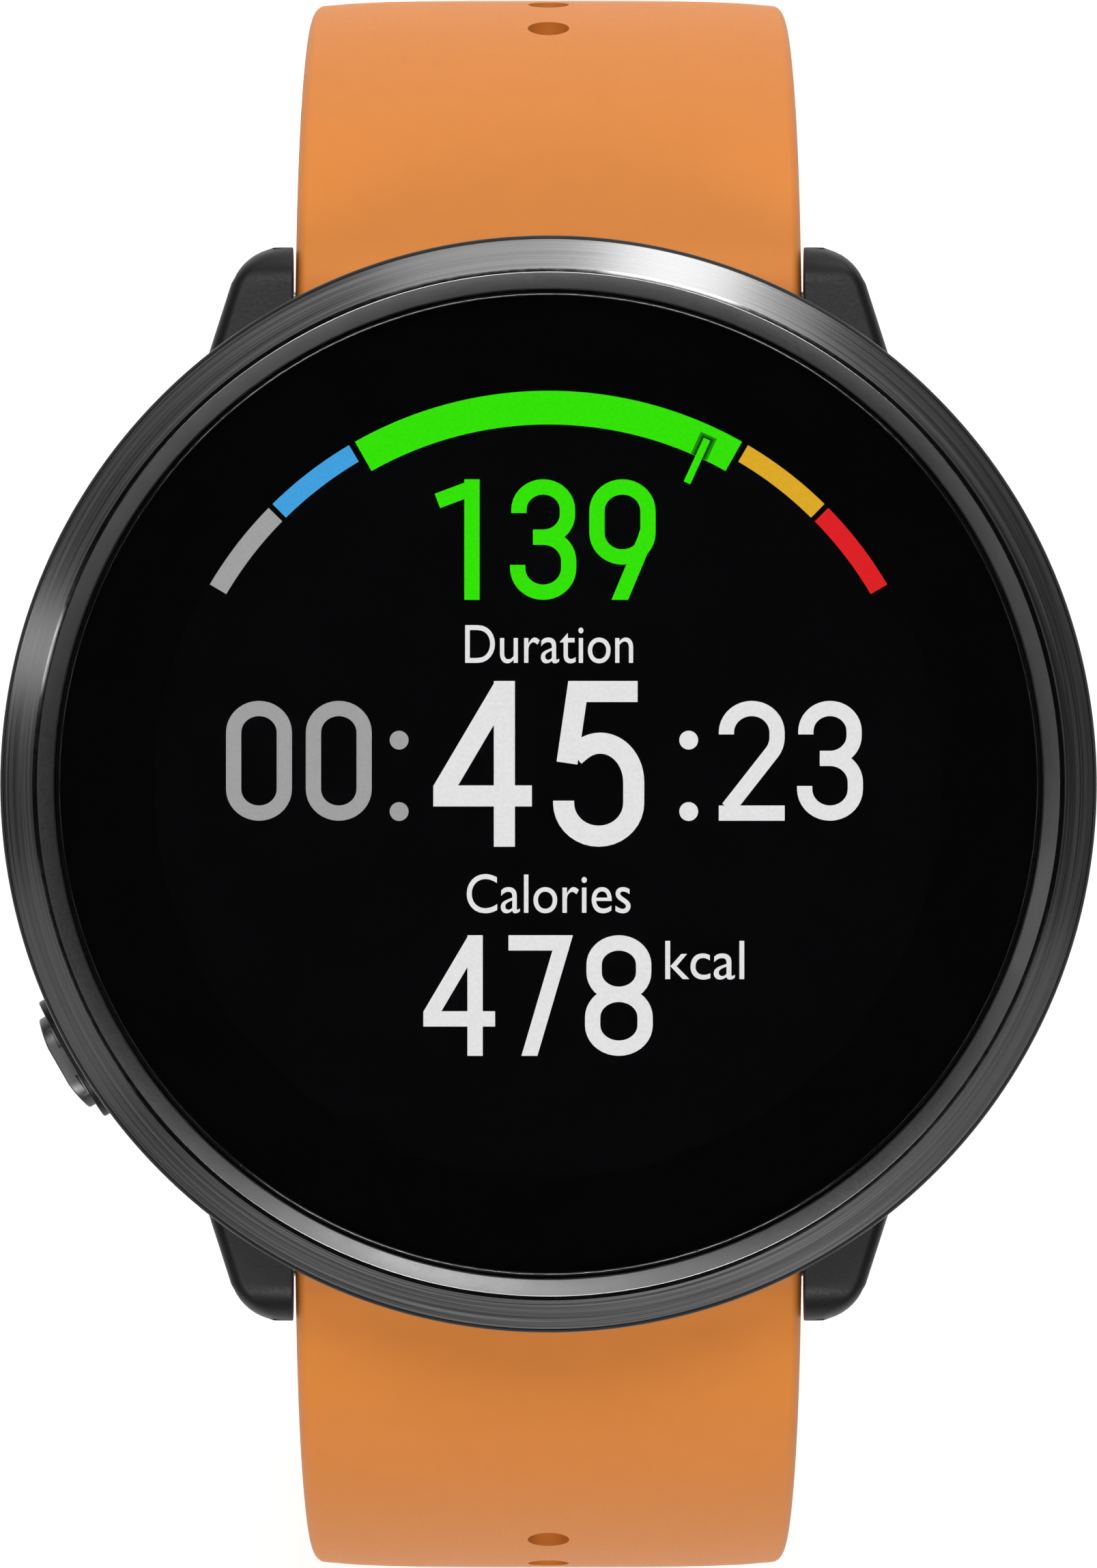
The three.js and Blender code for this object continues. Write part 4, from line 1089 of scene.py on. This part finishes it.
screw_places = [centre_of(f"case_screw_{n}") for n in range(1, 5)]
contact_places = [centre_of(f"charge_contact_{n}") for n in range(1, 5)]
cover = clipped_disc(cover_radius, cover_flat, under, cover_top)
bottom_rim = [e for e in sharp_edges(cover) if max(v.co.z for v in e.verts) < under + 0.01]
bevel_edges(cover, bottom_rim, 0.3, 4)
holes = [rod(SENSOR_HOLE, (0, 0, 0), (0, 0, 3), 128)]
holes += [rod(HEAD_RADIUS + 0.1, (p.x, p.y, 0), (p.x, p.y, under + 0.6)) for p in screw_places]
holes += [rod(SCREW_RADIUS + 0.1, (p.x, p.y, 0), (p.x, p.y, 3)) for p in screw_places]
holes += [rod(CONTACT_RADIUS + 0.1, (p.x, p.y, 0), (p.x, p.y, 3)) for p in contact_places]
make_piece("cover", carve(cover, holes), case_polymer, "case", ["back_cover"], crisp=38)

# %% [markdown]
# The window over the pulse sensor stands proud of the cover, so that it presses on the skin. It's a low
# dome with a flat face.

# %% Sensor window, screws and contacts
window_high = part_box("sensor_window")[1]
window = lathe([
    (0, 0, 0),
    (6.7, 0, 0.9),
    (7.95, 0.3, 0.3),
    (window_high.x / MM, under - 0.12, 0.08),
    (window_high.x / MM, under, 0),
    (0, under, 0),
])
make_piece("window", window, sensor_glass, "case", ["sensor_window"])


def cover_screw(place):
    """A pan head with a six-lobed recess. The head faces the wrist, so it is built looking down."""
    head = under + 0.05
    bm = lathe([
        (0, head + 0.3, 0),
        (0.62, head + 0.3, 0),
        (0.62, head, 0.05),
        (HEAD_RADIUS, head, 0.14),
        (HEAD_RADIUS, head + 0.5, 0.04),
        (SCREW_RADIUS, head + 0.5, 0.04),
        (SCREW_RADIUS, head + 2.9, 0.12),
        (0, head + 2.9, 0),
    ], steps=48)
    for vert in bm.verts:
        radius = math.hypot(vert.co.x, vert.co.y)
        if 0.5 < radius < 0.7 and vert.co.z < head + 0.31:
            lobes = 1 + 0.16 * math.cos(6 * math.atan2(vert.co.y, vert.co.x))
            vert.co.x *= lobes
            vert.co.y *= lobes
    bmesh.ops.translate(bm, vec=(place.x, place.y, 0), verts=bm.verts)
    return bm


for number, place in enumerate(screw_places, 1):
    make_piece(f"screw_{number}", cover_screw(place), steel, "case", [f"case_screw_{number}"])

contact_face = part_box("charge_contact_1")[0].z / MM
for number, place in enumerate(contact_places, 1):
    contact = lathe([
        (0, contact_face + 0.06, 0.3),
        (0.42, contact_face, 0.1),
        (CONTACT_RADIUS, contact_face, 0.09),
        (CONTACT_RADIUS, cover_top, 0),
        (1.0, cover_top, 0),
        (1.0, cover_top + 0.28, 0),
        (0, cover_top + 0.28, 0),
    ], steps=48, middle=(place.x, place.y))
    make_piece(f"contact_{number}", contact, gold_plate, "case", [f"charge_contact_{number}"])

# %% [markdown]
# ## The strap's line
# From the side, each half of the strap is a chain of bends and straights that starts at its spring bar. A
# point is then given by how far along the strap it lies, and how far out of its middle surface. Moving a
# flat slab's vertices through this map bends the slab.

# %% Lines
LEAVE = -28
strap_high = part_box("strap_upper")[1].y / MM
STRAP_MIDDLE = 2.5
FIRST_RADIUS = (strap_high - STRAP_MIDDLE / 2 - bar_y) / (1 - math.sin(math.radians(-LEAVE)))
END_HINGE = Vector(joints["buckle_swing"]["pos_m"]) / MM
UPPER_RUNS = [("bend", FIRST_RADIUS, 62), ("bend", 22, 38), ("run", 24, 0)]
LOWER_RUNS = [("bend", FIRST_RADIUS, 62), ("run", 22, 0), ("bend", 26, 90), ("run", 22, 0)]


def run_length(run):
    kind, size, turn = run
    return size if kind == "run" else size * math.radians(turn)


def line_at(runs, s):
    """(y, z, heading) at s millimetres along the line."""
    y, z, heading = bar_y, bar_z, math.radians(LEAVE)
    for number, (kind, size, turn) in enumerate(runs):
        length = run_length((kind, size, turn))
        share = s if number == len(runs) - 1 or s < length else length
        if kind == "run" or s < 0:
            y += share * math.cos(heading)
            z += share * math.sin(heading)
        else:
            ahead = heading - share / size
            y += size * (math.sin(heading) - math.sin(ahead))
            z -= size * (math.cos(heading) - math.cos(ahead))
            heading = ahead
        s -= share
        if s <= 0:
            break
    return y, z, heading


UPPER_LENGTH = sum(run_length(run) for run in UPPER_RUNS)
LOWER_LENGTH = sum(run_length(run) for run in LOWER_RUNS)
end_y, end_z, end_heading = line_at(UPPER_RUNS, UPPER_LENGTH)
print("halves", round(UPPER_LENGTH, 1), round(LOWER_LENGTH, 1), "mm; end is off its hinge by",
      round((Vector((0, end_y, end_z)) - END_HINGE).length, 4), "mm")

# %% [markdown]
# ## Strap halves
# Each half is moulded silicone: a slab with well-rounded outer edges, a slight crown, a row of holes, and
# a round end for its bar. The slab is made flat and long, its edges are bevelled and its length is cut
# into short steps. The holes are cut while it's flat, which keeps them round, and the bend comes last.

# %% Widths and thicknesses
STRAP_WIDTH, END_WIDTH = 20.0, 18.0
EYE = 1.45


def half_thickness(s, length, eye):
    """Half the strap's thickness, round at the spring bar and, if there's an eye, at the buckle."""
    plain = 1.6 - 0.35 * ease(s, 2, 18) - 0.1 * ease(s, 30, 55)
    if s < 1.2:
        plain = math.sqrt(max(0.0025, KNUCKLE ** 2 - min(s, 0) ** 2)) + (plain - KNUCKLE) * ease(s, 0, 1.2)
    past = s - (length - 1.5)
    if eye and past > 0:
        round_end = math.sqrt(max(0.0025, EYE ** 2 - max(0, past - 1.5) ** 2))
        plain = plain + (round_end - plain) * ease(past, 0, 1.2)
    return plain


def half_width(s, length, tail):
    """Half the strap's width as it narrows towards its end, with a round tip on the tail."""
    plain = (STRAP_WIDTH + (END_WIDTH - STRAP_WIDTH) * ease(s, 0, 52)) / 2
    past = s - (length - tail)
    if tail and past > 0:
        plain *= math.sqrt(max(0.0004, 1 - (past / tail) ** 2.6))
    return plain


print("upper half is", round(2 * half_thickness(10, UPPER_LENGTH, True), 2), "mm thick near the case")

# %% [markdown]
# The hole's rim is softened with a bevel on the edges that the Boolean leaves. They are found by their
# place: they lie on a circle round a hole's middle.

# %% Moulding a half
HOLE_RADIUS, FIRST_HOLE, HOLE_PITCH = 0.86, 15.9, 4.4
SLAB = 2.0
TIP_LENGTH, EDGE_ROUNDING = 3.9, 0.42


def flat_slab(start, end, step=0.8):
    """A slab along Y with bevelled long edges, crossed by loops at every step."""
    bm = block((-STRAP_WIDTH / 2, start, -SLAB / 2), (STRAP_WIDTH / 2, end, SLAB / 2))

    def lengthwise(above):
        return [
            e for e in bm.edges
            if abs(e.verts[0].co.y - e.verts[1].co.y) > 1 and (e.verts[0].co.z > 0) == above
        ]

    bevel_edges(bm, lengthwise(True), EDGE_ROUNDING, 6)
    underside = [e for e in lengthwise(False) if abs(e.verts[0].co.z + SLAB / 2) < 0.01]
    bevel_edges(bm, underside, EDGE_ROUNDING, 4)
    runs = [e for e in bm.edges if abs(e.verts[0].co.y - e.verts[1].co.y) > 1]
    bmesh.ops.subdivide_edges(bm, edges=runs, cuts=round((end - start) / step), use_grid_fill=True)
    across = [
        e for e in bm.edges
        if abs(e.verts[0].co.x - e.verts[1].co.x) > 5 and abs(e.verts[0].co.y - e.verts[1].co.y) < 0.01
    ]
    bmesh.ops.subdivide_edges(bm, edges=across, cuts=13, use_grid_fill=True)
    return bm


def soften_holes(bm, centres):
    def on_rim(vert):
        return any(abs(math.hypot(vert.co.x, vert.co.y - s) - HOLE_RADIUS) < 0.01 for s in centres)

    rims = [e for e in sharp_edges(bm, 60) if all(on_rim(v) for v in e.verts)]
    bevel_edges(bm, rims, 0.16, 3)


def bend_strap(bm, runs, length, side, eye, tail):
    """Moves a flat slab's vertices onto the strap's line."""
    for vert in bm.verts:
        x, s, t = vert.co
        if tail and length - s < TIP_LENGTH:
            # The loops crowd towards the tip, which keeps its outline round.
            s = length - (length - s) ** 2 / TIP_LENGTH
        y, z, heading = line_at(runs, s)
        share = x / (STRAP_WIDTH / 2)
        crown = 0.25 * abs(share) ** 5 if t > 0 else 0
        lift = t / (SLAB / 2) * half_thickness(s, length, eye) - crown
        vert.co = (
            share * half_width(s, length, tail),
            side * (y - lift * math.sin(heading)),
            z + lift * math.cos(heading),
        )


def strap_half(name, runs, length, side, body, eye, tail, last_hole, cuts, node):
    start = -KNUCKLE + 0.01
    end = length + EYE - 0.01 if eye else length
    slab = flat_slab(start, end)
    count = int((last_hole - FIRST_HOLE) / HOLE_PITCH) + 1
    centres = [FIRST_HOLE + HOLE_PITCH * i for i in range(count)]
    slab = carve(slab, [gather([rod(HOLE_RADIUS, (0, s, -3), (0, s, 3), 32) for s in centres])])
    soften_holes(slab, centres)
    bmesh.ops.triangulate(slab, faces=[f for f in slab.faces if len(f.verts) > 4])
    bend_strap(slab, runs, length, side, eye, tail)
    slab = carve(slab, cuts)
    return make_piece(name, slab, strap_silicone, body, [node], crisp=42)


# %% [markdown]
# Three cuts are made after the bend, where the frame says that other pieces pass: the bore for the spring
# bar, the slot where its release lever travels, and in the upper half the notch and bore for the tang and
# the buckle's bar.

# %% Both halves
BAR_BORE = 0.82
LEVER_X, LEVER_TRAVEL, LEVER_SLOT = 7.2, 1.2, 0.52


def bar_cuts(side):
    y = side * bar_y
    return [
        rod(BAR_BORE, (-15, y, bar_z), (15, y, bar_z)),
        block(
            (LEVER_X - LEVER_TRAVEL - LEVER_SLOT, y - LEVER_SLOT, bar_z - 4),
            (LEVER_X + LEVER_SLOT, y + LEVER_SLOT, bar_z),
        ),
    ]


TO_END = Matrix.Translation((0, end_y, end_z)) @ Matrix.Rotation(end_heading, 4, "X")


def at_end(bm):
    """Places what was built round the buckle's bar. Y ran along the strap, and Z out of its face."""
    bmesh.ops.transform(bm, matrix=TO_END, verts=bm.verts)
    return bm


tang_room = 1.05
NEAR_KEEPER, LOOSE_KEEPER, KEEPER_LENGTH = 7.4, 16, 4.4
upper_cuts = [
    *bar_cuts(1),
    at_end(block((-tang_room, -2.75, -4), (tang_room, 5, 4))),
    at_end(rod(0.77, (-15, 0, 0), (15, 0, 0))),
]
strap_half(
    "strap_top", UPPER_RUNS, UPPER_LENGTH, 1, "upper_half", True, 0,
    UPPER_LENGTH - NEAR_KEEPER - KEEPER_LENGTH, upper_cuts, "strap_upper",
)
strap_half(
    "strap_bottom", LOWER_RUNS, LOWER_LENGTH, -1, "lower_half", False, 8,
    LOWER_LENGTH - 5, bar_cuts(-1), "strap_lower",
)

# %% [markdown]
# ## Spring bars
# A thin steel tube holds each half between its lugs, and a sprung pin with a lever lets it go. Small as
# they are, they show from the wrist side.

# %% Bars and release pins
BAR_RADIUS, TIP_RADIUS = 0.75, 0.42
for word, side in (("upper", 1), ("lower", -1)):
    y = side * bar_y
    tube_low, tube_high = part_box(f"spring_bar_{word}")
    left, right = tube_low.x / MM, tube_high.x / MM
    tube = lathe([
        (0, left, 0), (TIP_RADIUS, left, 0.1), (TIP_RADIUS, -9.7, 0), (BAR_RADIUS, -9.7, 0.12),
        (BAR_RADIUS, right, 0.1), (0.5, right, 0), (0.5, 2, 0), (0, 2, 0),
    ], steps=48)
    lie = Matrix.Translation((0, y, bar_z)) @ Matrix.Rotation(math.radians(90), 4, "Y")
    bmesh.ops.transform(tube, matrix=lie, verts=tube.verts)
    room = TIP_RADIUS
    slot_cut = block((LEVER_X - LEVER_TRAVEL - room, y - room, bar_z - 2), (LEVER_X + room, y + room, bar_z))
    make_piece(f"bar_{word}", carve(tube, [slot_cut]), steel, f"{word}_half", [f"spring_bar_{word}"])
    pin_low, pin_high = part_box(f"release_pin_{word}")
    pin = rod(TIP_RADIUS, (pin_low.x / MM, y, bar_z), (pin_high.x / MM, y, bar_z), 32)
    bevel_edges(pin, sharp_edges(pin, 60), 0.1, 3)
    lever = rod(0.32, (LEVER_X, y, bar_z - 2.6), (LEVER_X, y, bar_z - 0.1), 32)
    bevel_edges(lever, sharp_edges(lever, 60), 0.08, 3)
    pin = carve(pin, [lever], "UNION")
    make_piece(f"pin_{word}", pin, steel, f"{word}_release", [f"release_pin_{word}"])

# %% [markdown]
# ## Keepers
# A keeper is a flat loop of the same silicone that holds the strap's free end. It could be moulded in one
# piece. A smaller rounded block is cut out of a larger one, which leaves a wall of even thickness, and the
# rims are softened.

# %% Keepers
KEEPER_WALL = 0.9
END_THICKNESS, KEEPER_GAP = 2.3, 0.3
keeper_half = END_WIDTH / 2 + KEEPER_GAP + 0.35
keeper_low = -END_THICKNESS / 2 - KEEPER_GAP
keeper_high = keeper_low + 2 * END_THICKNESS + 3 * KEEPER_GAP


def keeper(at):
    back = -at - KEEPER_LENGTH / 2
    outer = block(
        (-keeper_half - KEEPER_WALL, back, keeper_low - KEEPER_WALL),
        (keeper_half + KEEPER_WALL, back + KEEPER_LENGTH, keeper_high + KEEPER_WALL),
    )
    inner = block((-keeper_half, back - 1, keeper_low), (keeper_half, back + KEEPER_LENGTH + 1, keeper_high))
    for bm, size in ((outer, 1.9), (inner, 0.75)):
        runs = [e for e in bm.edges if abs(e.verts[0].co.y - e.verts[1].co.y) > 1]
        bevel_edges(bm, runs, size, 8)
    loop = carve(outer, [inner])
    bevel_edges(loop, sharp_edges(loop, 60), 0.3, 4)
    return at_end(loop)


for name, at, body, node in (
    ("keeper_near", NEAR_KEEPER, "upper_half", "keeper_fixed"),
    ("keeper_loose", LOOSE_KEEPER, "loose_keeper", "keeper_free"),
):
    make_piece(name, keeper(at), strap_silicone, body, [node], crisp=45)

# %% [markdown]
# ## Buckle
# The frame is one bar of steel bent into a U. A round section is extruded along one arm, spun round each
# corner and extruded on, and it's then flattened a little so that the arms lie flat beside the strap.

# %% Buckle frame
ARM_MIDDLE, RAIL_Y, BEND = 10.3, 8.6, 2.4
SECTION = 1.02


def buckle_frame():
    bm = bmesh.new()
    ring = bmesh.ops.create_circle(bm, cap_ends=False, segments=24, radius=SECTION)["verts"]
    for vert in ring:
        # A squarish section: flat sides with round corners.
        size = (abs(vert.co.x) ** 3 + abs(vert.co.y) ** 3) ** (1 / 3)
        vert.co *= SECTION / size
    stand = Matrix.Translation((-ARM_MIDDLE, -1.3, 0)) @ Matrix.Rotation(math.radians(-90), 4, "X")
    bmesh.ops.transform(bm, matrix=stand, verts=ring)
    edges = bm.edges[:]

    def push(edges, vec):
        made = bmesh.ops.extrude_edge_only(bm, edges=edges)["geom"]
        bmesh.ops.translate(bm, vec=vec, verts=[g for g in made if isinstance(g, bmesh.types.BMVert)])
        return [g for g in made if isinstance(g, bmesh.types.BMEdge)]

    def turn(edges, centre):
        made = bmesh.ops.spin(
            bm, geom=edges, axis=(0, 0, 1), cent=centre, angle=math.radians(-90), steps=10
        )["geom_last"]
        return [g for g in made if isinstance(g, bmesh.types.BMEdge)]

    edges = push(edges, (0, RAIL_Y - BEND + 1.3, 0))
    edges = turn(edges, (-ARM_MIDDLE + BEND, RAIL_Y - BEND, 0))
    edges = push(edges, (2 * (ARM_MIDDLE - BEND), 0, 0))
    edges = turn(edges, (ARM_MIDDLE - BEND, RAIL_Y - BEND, 0))
    push(edges, (0, -(RAIL_Y - BEND + 1.3), 0))
    bmesh.ops.holes_fill(bm, edges=[e for e in bm.edges if e.is_boundary], sides=0)
    bmesh.ops.recalc_face_normals(bm, faces=bm.faces)
    bevel_edges(bm, [e for e in sharp_edges(bm, 70)], 0.45, 5)
    return bm


frame_bar = carve(buckle_frame(), [rod(0.49, (-10.5, 0, 0), (10.5, 0, 0), 32)])
make_piece("buckle", at_end(frame_bar), buckle_steel, "buckle", ["buckle_frame"], crisp=45)

# %% [markdown]
# The tang is a finger on a ring. The finger bends up over the ring and lies on the front rail, where a
# shallow step keeps it from sliding.

# %% Tang and bar
def tang():
    lie = 1.18
    bm = block((-0.75, 0.2, lie), (0.75, RAIL_Y + 0.9, lie + 1.0))
    lengthwise = [e for e in bm.edges if abs(e.verts[0].co.y - e.verts[1].co.y) > 1]
    bmesh.ops.subdivide_edges(bm, edges=lengthwise, cuts=24, use_grid_fill=True)
    for vert in bm.verts:
        drop = 1 - ease(vert.co.y, 0.2, 4.2)
        vert.co.z -= drop * (0.9 if vert.co.z > lie + 0.5 else 1.35)
        thin = ease(vert.co.y, RAIL_Y - 1.5, RAIL_Y + 0.9)
        vert.co.x *= 1 - 0.25 * thin
        if vert.co.z > lie + 0.5:
            vert.co.z -= 0.3 * thin
    bevel_edges(bm, sharp_edges(bm, 50), 0.2, 4)
    hub = rod(1.35, (-0.75, 0, 0), (0.75, 0, 0), 64)
    bevel_edges(hub, sharp_edges(hub, 60), 0.15, 3)
    bm = carve(bm, [hub], "UNION")
    return carve(bm, [rod(0.77, (-5, 0, 0), (5, 0, 0), 48)])


make_piece("tang_finger", at_end(tang()), buckle_steel, "tang", ["buckle_tang"], crisp=40)
bar_low, bar_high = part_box("buckle_bar")
buckle_pin = lathe([
    (0, bar_low.x / MM, 0), (TIP_RADIUS, bar_low.x / MM, 0.08), (TIP_RADIUS, -9.15, 0), (0.7, -9.15, 0.1),
    (0.7, 9.15, 0.1), (TIP_RADIUS, 9.15, 0), (TIP_RADIUS, bar_high.x / MM, 0.08), (0, bar_high.x / MM, 0),
], steps=48)
bmesh.ops.transform(buckle_pin, matrix=Matrix.Rotation(math.radians(90), 4, "Y"), verts=buckle_pin.verts)
make_piece("buckle_pin", at_end(buckle_pin), steel, "buckle", ["buckle_bar"])

# %% [markdown]
# ## Pieces that keep their CAD shape
# The insides are simple solids that the frame already shows well. They only take a finish, chosen by their
# record slot.

# %% Inner pieces
finishes = {
    "case_polymer": case_polymer, "bezel_metal": polished_dark, "lens_glass": lens_glass,
    "seal_rubber": seal_rubber, "display_black": display_black, "inner_plastic": inner_plastic,
    "circuit_board": circuit_board, "shield_tin": shield_tin, "copper_flex": copper_flex,
    "gold_plate": gold_plate, "cell_foil": cell_foil, "sensor_glass": sensor_glass, "led_lens": led_lens,
    "steel": steel, "buckle_steel": buckle_steel, "strap_silicone": strap_silicone,
}
for entry in frame["record"]["subparts"]:
    node = frame["nodes"][entry["node"]]
    node.data.materials.clear()
    node.data.materials.append(finishes[entry["material_slot"]])

# %% [markdown]
# ## Floor
# A wide pale floor lies just under the strap's foot. It isn't part of the watch, and it is almost white so
# that the picture's ground is clean.

# %% Floor
floor_mesh = bpy.data.meshes.new("floor")
floor_bm = bmesh.new()
bmesh.ops.create_grid(floor_bm, x_segments=1, y_segments=1, size=3)
bmesh.ops.translate(floor_bm, vec=(0, 0, cad_low.z - 0.0004), verts=floor_bm.verts)
floor_bm.to_mesh(floor_mesh)
floor_bm.free()
floor = bpy.data.objects.new("floor", floor_mesh)
scene.collection.objects.link(floor)
floor_paper = grained("floor_paper", (0.93, 0.93, 0.93), 0.8, grain=300, depth=0.00002, tint=0.01)
floor_mesh.materials.append(floor_paper)
floor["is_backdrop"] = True
print("floor at", round((cad_low.z - 0.0004) / MM, 2), "mm")

# %% Print the sizes
low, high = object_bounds()
print("visual box", [round(v / MM, 2) for v in low], [round(v / MM, 2) for v in high])
